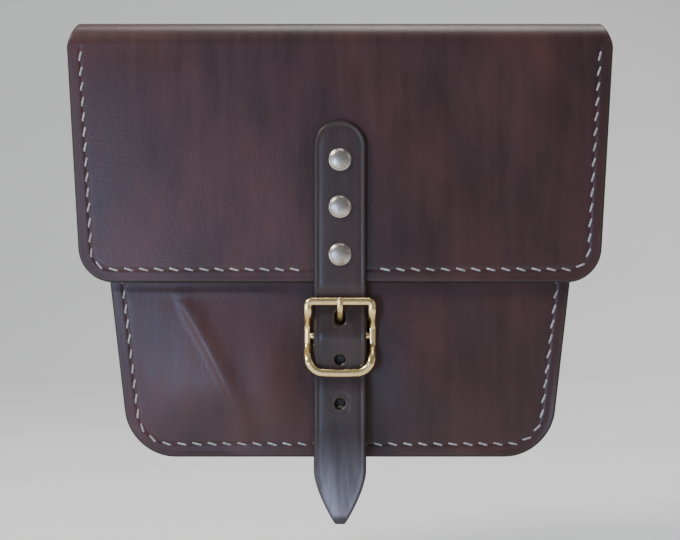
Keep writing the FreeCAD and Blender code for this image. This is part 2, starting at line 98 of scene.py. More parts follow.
class Route:
    """A polyline with rounded corners in a plane, followed by distance."""

    def __init__(self, corners: Sequence[tuple[float, float, float]]) -> None:
        """Works out the lines and arcs.

        Each corner's arc touches both of its lines at radius * tan(turn / 2) from the corner.

        Args:
            corners: (a, b, radius) of each corner, with the two ends first and last.
        """
        points = np.array([corner[:2] for corner in corners], float)
        steps = np.diff(points, axis=0)
        lengths = np.hypot(*steps.T)
        headings = np.unwrap(np.arctan2(steps[:, 1], steps[:, 0]))
        turns = np.diff(headings)
        radii = np.array([corner[2] for corner in corners[1:-1]], float)
        reaches = radii * np.tan(np.abs(turns) / 2)
        pieces, start = [], points[0]
        for i, heading in enumerate(headings):
            before = reaches[i - 1] if i else 0.0
            after = reaches[i] if i < len(turns) else 0.0
            way = np.array([math.cos(heading), math.sin(heading)])
            straight = max(lengths[i] - before - after, 0.0)
            pieces.append((straight, *start, heading, 0.0))
            start = start + way * straight
            if i < len(turns) and radii[i] > 0:
                bend = math.copysign(1 / radii[i], turns[i])
                pieces.append((abs(turns[i]) * radii[i], *start, heading, bend))
                start = points[i + 1] + reaches[i] * np.array([math.cos(headings[i + 1]), math.sin(headings[i + 1])])
        self.pieces = np.array(pieces)
        self.starts = np.concatenate([[0.0], np.cumsum(self.pieces[:, 0])])
        self.length = float(self.starts[-1])

    def at(self, s: Array) -> tuple[Array, Array]:
        """Points and left-hand normals at distances along the route.

        On a line the point is start + t * way. On an arc of curvature k it is
        start + (sin(h + k t) - sin h, cos h - cos(h + k t)) / k, where h is the heading.

        Args:
            s: distances. Those before the start or past the end run on in a straight line.

        Returns:
            Points and unit normals, each with a last axis of two.
        """
        index = np.clip(np.searchsorted(self.starts, s, side="right") - 1, 0, len(self.pieces) - 1)
        _, a, b, heading, bend = np.moveaxis(self.pieces[index], -1, 0)
        t = s - self.starts[index]
        safe = np.where(bend == 0, 1.0, bend)
        turned = heading + bend * t
        da = np.where(bend == 0, t * np.cos(heading), (np.sin(turned) - np.sin(heading)) / safe)
        db = np.where(bend == 0, t * np.sin(heading), (np.cos(heading) - np.cos(turned)) / safe)
        return np.stack([a + da, b + db], -1), np.stack([-np.sin(turned), np.cos(turned)], -1)


# ---- Meshes


class Side(Enum):
    """The two faces of a piece of leather."""

    GRAIN = 0.0
    FLESH = 1.0


def mesh_piece(name: str, points: Array, faces: Array, values: Optional[dict[str, Array]] = None) -> bpy.types.Object:
    """Makes an object from arrays, with its doubles merged and its faces pointing outwards.

    Args:
        name: the object's name.
        points: (n, 3) points in millimetres.
        faces: (m, 4) corner indices. A face with merged corners becomes a triangle.
        values: attributes by name, with one number or one vector for each point.

    Returns:
        The new object, at the origin and smooth shaded.
    """
    mesh = bpy.data.meshes.new(name)
    mesh.from_pydata((points / METRE).tolist(), [], faces.tolist())
    for key, value in (values or {}).items():
        vector = value.ndim == 2
        attribute = mesh.attributes.new(key, "FLOAT_VECTOR" if vector else "FLOAT", "POINT")
        attribute.data.foreach_set("vector" if vector else "value", np.ascontiguousarray(value, np.float32).ravel())
    tidy = bmesh.new()
    tidy.from_mesh(mesh)
    bmesh.ops.remove_doubles(tidy, verts=tidy.verts, dist=1e-6)
    bmesh.ops.dissolve_degenerate(tidy, edges=tidy.edges, dist=1e-7)
    bmesh.ops.recalc_face_normals(tidy, faces=tidy.faces)
    tidy.to_mesh(mesh)
    tidy.free()
    mesh.shade_smooth()
    made = bpy.data.objects.new(name, mesh)
    bpy.context.scene.collection.objects.link(made)
    return made


def grid_faces(rows: int, columns: int, close_rows: bool = False, close_columns: bool = False) -> Array:
    """The quads of a grid of points stored row by row.

    Args:
        rows: how many rows of points there are.
        columns: how many points a row has.
        close_rows: whether the last row joins on to the first.
        close_columns: whether the last column joins on to the first.

    Returns:
        (n, 4) corner indices.
    """
    i = np.arange(rows if close_rows else rows - 1)[:, None]
    j = np.arange(columns if close_columns else columns - 1)[None, :]
    below, right = (i + 1) % rows, (j + 1) % columns
    corners = [i * columns + j, i * columns + right, below * columns + right, below * columns + j]
    return np.stack(np.broadcast_arrays(*corners), -1).reshape(-1, 4)


def repeated(faces: Array, count: int, stride: int) -> Array:
    """The faces of several like pieces, whose points are stored one after another, stride points apart."""
    return (faces[None] + (np.arange(count) * stride)[:, None, None]).reshape(-1, 4)


def full_turn(count: int) -> Array:
    """Even angles round a circle."""
    return np.linspace(0, 2 * math.pi, count, endpoint=False)


def ladder(length: float, step: float, fine: Sequence[float], high: bool = True) -> Array:
    """Distances from 0 to length: fine ones at the start, even steps, and fine ones at the end.

    Args:
        length: the last distance.
        step: about how long an even step is.
        fine: the fine distances, measured from an end.
        high: whether the far end has fine distances too.

    Returns:
        The distances, in order.
    """
    near = np.array([f for f in fine if f < length / 2])
    tail = length - near if high else np.array([length])
    count = max(int(round((tail.min() - near.max()) / step)), 1)
    return np.unique(np.round(np.concatenate([near, np.linspace(near.max(), tail.min(), count + 1), tail]), 6))


EDGE_STEPS = (0.0, 0.08, 0.25, 0.5, 0.85, 1.3, 2.0, 2.9, 3.9, 4.8, 5.4, 5.9, 6.3, 6.7, 7.2, 7.8, 9.0, 11.0)
STRAP_STEPS = (0.0, 0.08, 0.25, 0.5, 0.85, 1.3, 1.9, 2.4, 2.8, 3.3)


@dataclass
class Opening:
    """A round or long hole through a strap."""

    s: float
    radius: float
    half_slot: float = 0.0


@dataclass
class Bore:
    """A round hole through a panel, anywhere, with a shallow recess round it on the grain side."""

    x: float
    s: float
    radius: float
    recess: float
    depth: float


@dataclass
class Cut:
    """A piece of leather as it is cut flat: a width that varies along its length, with rounded corners."""

    EDGE_POWER = 2.4  # of the burnished edge's outline
    RELIEF_FADE = 3.0  # the distance from an edge over which the relief grows
    GROOVE_WIDTH = 0.7
    GAP_FADE = 2.0
    RECESS_FADE = 0.6
    RING_ROWS = 7  # between an opening and its block's border
    ROW_GAP, COLUMN_GAP = 0.03, 0.12  # lines closer than this are one

    length: float
    half_width: Callable[[Array], Array]
    thickness: float
    start_radius: float = 0.0
    end_radius: float = 0.0
    edge_zone: float = 0.0
    step: float = 3.0
    fine: Sequence[float] = EDGE_STEPS
    bends: Sequence[tuple[float, float]] = ()
    bend_step: float = 0.8
    edge_round: float = 1.0
    groove_inset: float = 0.0
    groove_depth: float = 0.0
    groove_growth: Callable[[Array], Array] = field(default=np.ones_like)
    groove_gaps: Sequence[tuple[float, float]] = ()
    openings: Sequence[Opening] = ()
    open_block: float = 5.0
    bores: Sequence[Bore] = ()
    relief: Callable[[Array, Array], Array] = field(default=lambda x, s: np.zeros_like(x))

    def _rows(self) -> Array:
        """Distances along the piece where the mesh has a row.

        Returns:
            The distances, in order.
        """
        rows = [ladder(self.length, self.step, self.fine)]
        rows += [np.arange(low, high, self.bend_step) for low, high in self.bends]
        for bore in self.bores:
            rows.append(bore.s + np.arange(-5.0, 5.5, 1.0))
            rows += [bore.s + way * (bore.recess + np.array([-0.4, 0.0, 0.5])) for way in (-1, 1)]
        for hole in self.openings:
            reach = np.linspace(0.0, 1.0, self.RING_ROWS) * self.open_block
            spread = np.linspace(-hole.half_slot, hole.half_slot, max(int(hole.half_slot * 4), 2))
            rows += [hole.s + hole.half_slot + reach, hole.s - hole.half_slot - reach, hole.s + spread]
        merged = np.unique(np.round(np.concatenate(rows), 4))
        return merged[np.concatenate([[True], np.diff(merged) > self.ROW_GAP])]

    def _columns(self) -> Array:
        """Insets from the left edge at full width.

        Returns:
            The insets, in order, up to the middle line.
        """
        widest = float(self.half_width(np.linspace(0, self.length, 50)).max())
        half = ladder(widest, self.step, self.fine, high=False)
        if self.openings:
            block = widest - np.linspace(0, 1, self.RING_ROWS) * self.open_block
            half = np.unique(np.concatenate([half[half < widest - self.open_block], block]))
        if self.bores:
            widths = [float(self.half_width(np.array([bore.s]))[0]) for bore in self.bores]
            insets = [widest * (1 - abs(bore.x) / width) for bore, width in zip(self.bores, widths)]
            half = np.unique(np.concatenate([half, np.arange(min(insets) - 9.0, max(insets) + 9.0, 1.1)]))
            half = half[np.concatenate([[True], np.diff(half) > self.COLUMN_GAP])]
        return half

    def flat(self) -> tuple[Array, Array, Array, Array]:
        """The flat pattern's grid.

        In a corner block of side R, a point at (X, Y) from the arc's centre goes to radius max(X, Y) at an angle of
        45 degrees times min / max from the nearer axis, which turns square lines into arcs at the same inset.
        Round a hole, the square of half size q is drawn in to the hole's outline in the same way.

        Returns:
            x, s, the distance to the nearest edge, and a mask of the points to leave out.
        """
        insets, rows = self._columns(), self._rows()
        widest = float(insets.max())
        a = np.concatenate([insets, insets[::-1][1:]])
        sign = np.concatenate([-np.ones(len(insets)), np.ones(len(insets) - 1)])
        sign[len(insets) - 1] = 0.0
        a, s = np.broadcast_arrays(a[None, :], rows[:, None])
        sign = np.broadcast_to(sign[None, :], a.shape)
        a, s = a.copy(), s.copy()
        edge = np.minimum(a, np.minimum(s, self.length - s))
        for radius, flip in ((self.start_radius, False), (self.end_radius, True)):
            along = self.length - s if flip else s
            inside = (a < radius) & (along < radius) & (radius > 0)
            near_x, near_s = radius - a, radius - along
            most, least = np.maximum(near_x, near_s), np.minimum(near_x, near_s)
            angle = np.where(most > 0, math.pi / 4 * least / np.maximum(most, 1e-9), 0.0)
            angle = np.where(near_x >= near_s, angle, math.pi / 2 - angle)
            a = np.where(inside, radius - most * np.cos(angle), a)
            moved = radius - most * np.sin(angle)
            s = np.where(inside, self.length - moved if flip else moved, s)
        width = self.half_width(s)
        zone = self.edge_zone
        even = zone + (a - zone) * (width - zone) / max(widest - zone, 1e-9)
        inset = np.where(a <= zone, a, even)
        x = sign * (width - inset)
        edge = np.where(edge < zone, edge, edge * width / widest) if zone else edge * np.minimum(width / widest, 1)
        return self._pierce(x, s, edge)

    def _pierce(self, x: Array, s: Array, edge: Array) -> tuple[Array, Array, Array, Array]:
        """Draws the grid round each hole.

        Round an opening, a square ring of half size m goes to the hole's circle as m shrinks. Round a bore, the points
        just inside the circle are moved out on to it.

        Args:
            x: the grid's points across the piece.
            s: the grid's points along it.
            edge: their distances to the nearest edge.

        Returns:
            The same three, moved, and a mask of the points to leave out.
        """
        gone = np.zeros(x.shape, bool)
        inner = 1 / 3
        for hole in self.openings:
            off = s - hole.s
            slide = np.clip(off, -hole.half_slot, hole.half_slot)
            dx, ds = x, off - slide
            most = np.maximum(np.abs(dx), np.abs(ds)) / self.open_block
            block = most < 1 - 1e-6
            far = np.maximum(np.hypot(dx, ds), 1e-9)
            blend = np.clip((most - inner) / (1 - inner), 0, 1)
            square = np.stack([dx, ds], -1) / np.maximum(most, 1e-9)[..., None]
            circle = np.stack([dx, ds], -1) / far[..., None] * hole.radius
            drawn = circle + (square - circle) * blend[..., None]
            gone |= most < inner - 1e-3
            x = np.where(block, drawn[..., 0], x)
            s = np.where(block, hole.s + slide + drawn[..., 1], s)
            gap = np.hypot(drawn[..., 0], drawn[..., 1]) - hole.radius
            edge = np.where(block, np.minimum(edge, np.maximum(gap, 0)), edge)
        for bore in self.bores:
            dx, ds = x - bore.x, s - bore.s
            far = np.maximum(np.hypot(dx, ds), 1e-6)
            inside = far < bore.radius
            ringed = np.pad(inside, 1)
            core = inside.copy()
            for down in (0, 1, 2):
                for right in (0, 1, 2):
                    core &= ringed[down:down + x.shape[0], right:right + x.shape[1]]
            gone |= core
            x = np.where(inside, bore.x + dx / far * bore.radius, x)
            s = np.where(inside, bore.s + ds / far * bore.radius, s)
            edge = np.minimum(edge, np.where(inside, 0.0, far - bore.radius))
        return x, s, edge, gone

    def _sunk(self, x: Array, s: Array, edge: Array) -> Array:
        """How deep the grain side is pressed in by the stitch groove and the recesses.

        Args:
            x: points across the piece.
            s: points along it.
            edge: their distances to the nearest edge.

        Returns:
            The depths.
        """
        line = np.exp(-(((edge - self.groove_inset) / self.GROOVE_WIDTH) ** 2))
        groove = self.groove_depth * self.groove_growth(s) * line
        for low, high in self.groove_gaps:
            groove = groove * (1 - smooth((s - low) / self.GAP_FADE) * smooth((high - s) / self.GAP_FADE))
        for bore in self.bores:
            away = np.hypot(x - bore.x, s - bore.s) - bore.recess
            groove = groove + bore.depth * (1 - smooth(away / self.RECESS_FADE))
        return groove

    def build(self, name: str, place: Place) -> bpy.types.Object:
        """Makes the closed piece.

        The half thickness at an edge distance d is t / 2 * (1 - (1 - d / r)^2.4)^(1 / 2.4), which gives a burnished
        edge. The stitch groove takes depth * exp(-((d - inset) / 0.7)^2) off the grain side.

        Args:
            name: the piece's name.
            place: gives points in space for x, s and a height above the middle of the leather.

        Returns:
            The new object. It stores the flat pattern, the edge distance and the side as attributes.
        """
        x, s, edge, gone = self.flat()
        near = 1 - np.clip(edge / self.edge_round, 0, 1)
        half = self.thickness / 2 * (1 - near ** self.EDGE_POWER) ** (1 / self.EDGE_POWER)
        groove = self._sunk(x, s, edge)
        lift = self.relief(x, s) * np.clip(edge / self.RELIEF_FADE, 0, 1)
        sheets = [place(x, s, half - groove + lift), place(x, s, -half + lift)]
        points = np.concatenate([sheet.reshape(-1, 3) for sheet in sheets])
        kept = grid_faces(*x.shape)
        kept = kept[~gone.ravel()[kept].any(1)]
        faces = np.concatenate([kept, kept[:, ::-1] + x.size])
        flat = np.stack([x.ravel(), s.ravel(), np.zeros(x.size)], -1) / METRE
        rim = np.concatenate([edge.ravel()] * 2)
        sides = np.repeat([side.value for side in Side], x.size)
        values = {"flat": np.concatenate([flat, flat]), "rim": rim,
                  "flesh": np.where(rim < 0.9 * self.edge_round, Side.GRAIN.value, sides)}
        used = np.unique(faces)
        renumber = np.full(len(points), -1)
        renumber[used] = np.arange(len(used))
        return mesh_piece(name, points[used], renumber[faces], {key: value[used] for key, value in values.items()})


def along_yz(route: Route) -> Place:
    """A placing that carries (x, s) along a route in the YZ plane.

    Args:
        route: the route, as (y, z). Height goes along its left normal.

    Returns:
        The placing.
    """
    def place(x: Array, s: Array, height: Array) -> Array:
        """Points in space.

        Args:
            x: points across the leather.
            s: points along it.
            height: heights above its middle.

        Returns:
            (..., 3) points.
        """
        centre, normal = route.at(s)
        lifted = centre + normal * height[..., None]
        return np.stack([x, lifted[..., 0], lifted[..., 1]], -1)
    return place


def on_relief(place: Place, relief: Callable[[Array, Array], Array]) -> Place:
    """A placing that adds a piece's relief to the height, so that what is sewn on follows the leather."""
    return lambda x, s, height: place(x, s, height + relief(x, s))


def straight(width_start: float, width_end: float, length: float) -> Callable[[Array], Array]:
    """A half width that changes evenly from one end of a cut to the other."""
    return lambda s: width_start + (width_end - width_start) * s / length


def even(half: float) -> Callable[[Array], Array]:
    """A half width that is the same all along a cut."""
    return lambda s: np.full_like(s, half)


def upright(y: float, low: float, high: float) -> Route:
    """A route straight up."""
    return Route([(y, low, 0), (y, high, 0)])


def u_line(end_half: float, end: float, foot_half: float, foot: float, radius: float) -> Route:
    """A route down one side, round two corners at the foot and up the other side."""
    return Route([(-end_half, end, 0), (-foot_half, foot, radius), (foot_half, foot, radius), (end_half, end, 0)])


def in_front(corners: Sequence[tuple[float, float, float]]) -> Route:
    """A route before the front panel, by (height above the centre bar, lift out of the panel, radius) corners."""
    return Route([(FRONT_Y - lift, BAR_Z + rise, radius) for rise, lift, radius in corners])


def smooth(t: Array) -> Array:
    """0 below 0, 1 above 1 and 3 t^2 - 2 t^3 between."""
    t = np.clip(t, 0, 1)
    return t * t * (3 - 2 * t)


# ---- Shader maths


class Tap:
    """A shader socket that takes part in arithmetic."""

    def __init__(self, graph: "Graph", socket: bpy.types.NodeSocket) -> None:
        """Wraps a socket of a graph."""
        self.graph, self.socket = graph, socket

    def _maths(self, operation: str, first: object, second: object) -> "Tap":
        """A Math node on two values."""
        return self.graph.node("ShaderNodeMath", {"operation": operation}, {0: first, 1: second})

    def __add__(self, other: object) -> "Tap":
        """The sum."""
        return self._maths("ADD", self, other)

    __radd__ = __add__

    def __sub__(self, other: object) -> "Tap":
        """The difference."""
        return self._maths("SUBTRACT", self, other)

    def __rsub__(self, other: object) -> "Tap":
        """The difference the other way round."""
        return self._maths("SUBTRACT", other, self)

    def __mul__(self, other: object) -> "Tap":
        """The product."""
        return self._maths("MULTIPLY", self, other)

    __rmul__ = __mul__

    def __pow__(self, other: object) -> "Tap":
        """The power."""
        return self._maths("POWER", self, other)


class Graph:
    """A material's node tree, written as expressions."""

    def __init__(self, name: str) -> None:
        """Makes an empty material.

        Args:
            name: the material's name.
        """
        self.material = bpy.data.materials.new(name)
        self.material.use_nodes = True
        self.material.node_tree.nodes.clear()

    def node(self, kind: str, settings: Optional[dict] = None, inputs: Optional[dict] = None,
             output: object = 0) -> Tap:
        """Adds a node.

        Args:
            kind: the node's type.
            settings: properties to set first. "stops" gives a ramp's (position, colour) pairs.
            inputs: values or taps, by the socket's name or number.
            output: the name or number of the output to return.

        Returns:
            A tap on that output.
        """
        made = self.material.node_tree.nodes.new(kind)
        for key, value in (settings or {}).items():
            if key == "stops":
                for spare in range(len(value) - 2):
                    made.color_ramp.elements.new(0.5)
                for element, (position, colour) in zip(made.color_ramp.elements, value):
                    element.position, element.color = position, (*colour, 1.0)
            else:
                setattr(made, key, value)
        for key, value in (inputs or {}).items():
            if isinstance(value, Tap):
                self.material.node_tree.links.new(value.socket, made.inputs[key])
            else:
                made.inputs[key].default_value = value
        return Tap(self, made.outputs[output])

    def flat(self) -> Tap:
        """The flat pattern stored on the mesh."""
        return self.node("ShaderNodeAttribute", {"attribute_name": "flat"}, output="Vector")

    def place(self) -> Tap:
        """Coordinates on the object."""
        return self.node("ShaderNodeTexCoord", output="Object")

    def number(self, attribute: str) -> Tap:
        """A number stored on the mesh."""
        return self.node("ShaderNodeAttribute", {"attribute_name": attribute}, output="Fac")

    def scaled(self, source: Tap, scale: tuple[float, float, float]) -> Tap:
        """Coordinates stretched by a factor along each axis."""
        return self.node("ShaderNodeMapping", {"vector_type": "POINT"}, {"Vector": source, "Scale": scale})

    def noise(self, source: Tap, scale: float, detail: float = 4.0, roughness: float = 0.55) -> Tap:
        """Fractal noise from 0 to 1."""
        return self.node("ShaderNodeTexNoise", {}, {"Vector": source, "Scale": scale, "Detail": detail,
                                                    "Roughness": roughness}, "Fac")

    def span(self, value: Tap, low: float, high: float, to_low: float = 0.0, to_high: float = 1.0) -> Tap:
        """A value taken from one range to another and held inside it."""
        return self.node("ShaderNodeMapRange", {"clamp": True}, {"Value": value, "From Min": low, "From Max": high,
                                                                 "To Min": to_low, "To Max": to_high})

    def mix(self, factor: object, first: object, second: object) -> Tap:
        """A colour between two."""
        first, second = (c if isinstance(c, Tap) else (*c, 1.0) for c in (first, second))
        return self.node("ShaderNodeMix", {"data_type": "RGBA"}, {0: factor, 6: first, 7: second}, 2)

    def bump(self, height: Tap, strength: float, distance: float) -> Tap:
        """A normal from a height."""
        return self.node("ShaderNodeBump", {}, {"Height": height, "Strength": strength, "Distance": distance})

    def surface(self, sockets: dict) -> bpy.types.Material:
        """Closes the material with a principled surface.

        Args:
            sockets: the surface's values or taps, by name.

        Returns:
            The material.
        """
        shader = self.node("ShaderNodeBsdfPrincipled", {}, sockets)
        out = self.material.node_tree.nodes.new("ShaderNodeOutputMaterial")
        self.material.node_tree.links.new(shader.socket, out.inputs["Surface"])
        return self.material


Colour = tuple[float, float, float]


@dataclass(frozen=True)
class Leather:
    """Waxed, semi-gloss leather with a burnished edge and a rough flesh side."""

    name: str
    deep: Colour
    brown: Colour
    warm: Colour
    cut: Colour = (0.012, 0.008, 0.007)
    # A lighter line on the edge's rounded shoulder: partly scuffed wear, partly a painted highlight.
    edge_wear_and_highlight: Colour = (0.16, 0.105, 0.078)
    flesh: Colour = (0.115, 0.068, 0.043)
    # Painted reflection: the pale bluish colour that stands in for sky light on a strap's tip.
    painted_sky_reflection: Colour = (0.34, 0.34, 0.44)
    roughness: float = 0.40
    grain: float = 0.35
    # Painted reflection: how strongly a strap's tip is washed with that colour.
    tip_reflection: float = 0.0

    def material(self) -> bpy.types.Material:
        """Colour runs from deep to brown in broad patches, with long streaks, and darkens at the cut edge.

        A strap's first 50 mm can carry a pale painted sky reflection, which goes as the square of the share of those 50
        mm left.

        Returns:
            The material.
        """
        g = Graph(self.name)
        flat = g.flat()
        rim, flesh = g.number("rim"), g.number("flesh")
        patches = g.span(g.noise(g.scaled(flat, (14.0, 9.0, 1.0)), 1.0, 3.0), 0.3, 0.7)
        streaks = g.span(g.noise(g.scaled(flat, (150.0, 17.0, 1.0)), 1.0, 5.0, 0.6), 0.35, 0.7)
        warmth = g.span(g.noise(g.scaled(flat, (24.0, 13.0, 1.0)), 1.0, 3.0), 0.44, 0.78)
        cells = g.node("ShaderNodeTexVoronoi", {"feature": "SMOOTH_F1"}, {"Vector": flat, "Scale": 900.0,
                                                                         "Smoothness": 0.7}, "Distance")
        pores = g.noise(flat, 2600.0, 2.0)
        wrinkle = g.noise(g.scaled(flat, (420.0, 150.0, 1.0)), 1.0, 4.0, 0.65)
        scuffs = g.span(g.noise(flat, 240.0, 6.0, 0.72), 0.6, 0.75)
        colour = g.mix(patches * 0.65 + streaks * 0.35, self.deep, self.brown)
        colour = g.mix(warmth * 0.6, colour, self.warm)
        along = g.node("ShaderNodeSeparateXYZ", {}, {0: flat}, "Y")
        # Painted reflection: a strap's first 50 mm are washed toward a pale bluish colour in place of sky light on the
        # tip.
        tip = g.span(along, 0.0, 0.05, 1.0, 0.0) ** 2.0
        colour = g.mix(tip * streaks * self.tip_reflection + tip * (0.4 * self.tip_reflection), colour, self.painted_sky_reflection)
        edge = g.span(rim, 0.7, 1.9, 1.0, 0.0)
        colour = g.mix(edge * 0.85, colour, self.cut)
        # A lighter line on the edge's rounded shoulder: partly scuffed wear, partly a painted highlight.
        line = g.span(rim, 0.5, 1.2) * g.span(rim, 1.3, 2.2, 1.0, 0.0)
        colour = g.mix(line * (0.12 + 0.5 * scuffs), colour, self.edge_wear_and_highlight)
        rough_side = g.mix(g.noise(flat, 500.0), self.flesh, tuple(0.62 * c for c in self.flesh))
        colour = g.mix(flesh, colour, rough_side)
        shine = self.roughness + streaks * 0.07 - patches * 0.05 + scuffs * 0.12 + flesh * 0.4 + edge * 0.06
        height = cells * self.grain + pores * 0.12 + wrinkle * 0.5 + flesh * g.noise(flat, 1300.0) * 1.2
        return g.surface({"Base Color": colour, "Roughness": shine, "Normal": g.bump(height, 0.3, 0.00035),
                          "Coat Weight": 0.06, "Coat Roughness": 0.25, "IOR": 1.42})


@dataclass(frozen=True)
class Metal:
    """Cast or pressed metal, polished and a little aged."""

    name: str
    bright: Colour
    tarnish: Colour
    roughness: float
    ageing: float

    def material(self) -> bpy.types.Material:
        """Bright metal with patches of tarnish, fine pitting and hair scratches.

        Returns:
            The material.
        """
        g = Graph(self.name)
        place = g.place()
        aged = g.span(g.noise(place, 260.0, 5.0, 0.65), 0.45, 0.68)
        pits = g.noise(place, 1700.0, 3.0)
        hairs = g.noise(g.scaled(place, (900.0, 900.0, 5200.0)), 1.0, 2.0)
        colour = g.mix(aged * self.ageing, self.bright, self.tarnish)
        shine = self.roughness + aged * 0.2 * self.ageing + hairs * 0.06
        return g.surface({"Base Color": colour, "Metallic": 1.0, "Roughness": shine,
                          "Normal": g.bump(pits * 0.5 + hairs * 0.5, 0.12, 0.0001)})


@dataclass(frozen=True)
class Thread:
    """Waxed saddler's thread of twisted plies."""

    name: str
    pale: Colour
    soiled: Colour

    def material(self) -> bpy.types.Material:
        """Plies run at a slant round the thread, and dirt caught in its waxing gathers between them.

        Returns:
            The material.
        """
        g = Graph(self.name)
        flat = g.flat()
        plies = g.node("ShaderNodeTexWave", {"wave_type": "BANDS", "bands_direction": "DIAGONAL"},
                       {"Vector": flat, "Scale": 260.0, "Distortion": 0.6, "Detail": 1.0}, "Fac")
        dirt = g.span(g.noise(flat, 90.0, 4.0), 0.38, 0.7)
        colour = g.mix(dirt * 0.6 + plies * 0.25, self.pale, self.soiled)
        return g.surface({"Base Color": colour, "Roughness": 0.6 + dirt * 0.15,
                          "Normal": g.bump(plies, 0.5, 0.0002)})


@dataclass(frozen=True)
class Plastic:
    """Plain sheet plastic with a moulded texture."""

    name: str
    colour: Colour

    def material(self) -> bpy.types.Material:
        """Dark plastic with a fine pebble.

        Returns:
            The material.
        """
        g = Graph(self.name)
        place = g.place()
        pebble = g.noise(place, 900.0, 3.0)
        shade = g.mix(g.noise(place, 30.0), self.colour, tuple(1.5 * c for c in self.colour))
        return g.surface({"Base Color": shade, "Roughness": 0.5 + pebble * 0.15,
                          "Normal": g.bump(pebble, 0.3, 0.0002)})


class Finishes:
    """Every finish of the bag, made once."""

    def __init__(self) -> None:
        """Makes the materials."""
        hide = (0.019, 0.0085, 0.0090), (0.055, 0.023, 0.025), (0.095, 0.031, 0.030)
        belt = (0.018, 0.0135, 0.0145), (0.048, 0.033, 0.035), (0.064, 0.034, 0.032)
        self.leather = Leather("bag_leather", *hide).material()
        # The strap's tip carries a painted sky reflection.
        self.strap = Leather("strap_leather", *belt, roughness=0.33, grain=0.25, tip_reflection=0.95).material()
        self.tab = Leather("chape_leather", *belt, roughness=0.36, grain=0.25).material()
        self.brass = Metal("buckle_brass", (0.90, 0.69, 0.33), (0.50, 0.33, 0.12), 0.19, 0.35).material()
        self.nickel = Metal("rivet_nickel", (0.53, 0.485, 0.43), (0.19, 0.15, 0.115), 0.25, 0.75).material()
        self.thread = Thread("saddle_thread", (0.40, 0.40, 0.43), (0.15, 0.135, 0.14)).material()
        self.plastic = Plastic("stiffener_plastic", (0.012, 0.012, 0.013)).material()


@dataclass(frozen=True)
class Bend:
    """The stretch over which a piece goes over from one body to another, between two points in millimetres."""

    first: str
    second: str
    start: tuple[float, float, float]
    end: tuple[float, float, float]


def dress(piece: bpy.types.Object, material: bpy.types.Material, slot: str, body: Union[str, Bend],
          *nodes: str) -> None:
    """Gives a piece its material, and its place on the moving object when it rides on one body.

    Args:
        piece: the new piece.
        material: its finish.
        slot: the material slot's name. Not used.
        body: the body it rides on, or a bend between two, for which the piece is only baked in place.
        *nodes: the CAD nodes it stands for.
    """
    piece.data.materials.append(material)
    if isinstance(body, Bend):
        start, end = (tuple(v / METRE for v in spot) for spot in (body.start, body.end))
        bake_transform(piece)
        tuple(start)
        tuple(end)
    else:
        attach(piece, body)
    if nodes:
        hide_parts(*nodes)
    LOG.info("%s: %d faces, rides on %s", piece.name, len(piece.data.polygons), body)


# ---- Stitching


@dataclass
class Stitching:
    """A row of slanted saddle stitches that lie in the leather's groove."""

    pitch: float = 7.2
    length: float = 5.3
    width: float = 1.05
    height: float = 0.62
    slant: float = 15.0
    sunk: float = 0.096
    dive: float = 0.75
    seed: int = 11

    def build(self, name: str, row: Route, place: Place, surface: float, clear: float = 0.0) -> bpy.types.Object:
        """Makes one piece of every stitch in a row.

        Along a stitch t runs from -1 to 1. Its centre line stands height / 4 - dive * t^4 - sunk above the surface,
        so both ends dive in, and its section is an ellipse scaled by 1 - 0.6 |t|^5, or 0.3 if that is more.

        Args:
            name: the piece's name.
            row: the stitch line in the flat pattern, as (x, s).
            place: the leather's placing.
            surface: the height of the leather's grain side above its middle.
            clear: stitches nearer the middle line than this are hidden, and left out.

        Returns:
            The new object.
        """
        count = int(round(row.length / self.pitch))
        middles = (np.arange(count) + 0.5) * row.length / count
        centre, normal = row.at(middles)
        keep = np.abs(centre[:, 0]) >= clear
        centre, normal = centre[keep], normal[keep]
        rng = np.random.default_rng(self.seed)
        tilt = np.radians(self.slant + rng.normal(0, 2.0, len(centre)))
        heading = np.arctan2(-normal[:, 0], normal[:, 1]) - tilt
        t = np.linspace(-1, 1, 11)
        ring = full_turn(8)
        taper = np.maximum(1 - 0.6 * np.abs(t) ** 5, 0.3)
        along = t * self.length / 2 * (1 + rng.normal(0, 0.03, len(centre)))[:, None]
        across = self.width / 2 * taper[:, None] * np.cos(ring)
        middle = self.height / 4 - self.dive * np.abs(t) ** 4
        rise = self.height / 2 * taper[:, None] * np.sin(ring) + middle[:, None]
        way = np.stack([np.cos(heading), np.sin(heading)], -1)
        side = np.stack([-way[:, 1], way[:, 0]], -1)
        flat = (centre[:, None, None, :] + along[:, :, None, None] * way[:, None, None, :]
                + across[None, :, :, None] * side[:, None, None, :])
        lift = np.broadcast_to(rise[None], flat.shape[:3]) + surface - self.sunk
        points = place(flat[..., 0], flat[..., 1], lift).reshape(-1, 3)
        one = grid_faces(len(t), len(ring), close_columns=True)
        caps = np.array([[0, 1, 2, 3], [0, 3, 4, 7], [4, 5, 6, 7]])
        one = np.concatenate([one, caps[:, ::-1], caps + (len(t) - 1) * len(ring)])
        faces = repeated(one, len(centre), len(t) * len(ring))
        pattern = np.stack(np.broadcast_arrays(along[:, :, None], ring[None, None, :] * 0.3,
                                               np.arange(len(centre))[:, None, None] * 3.0), -1).reshape(-1, 3)
        return mesh_piece(name, points, faces, {"flat": pattern / METRE})


# ---- Turned fittings


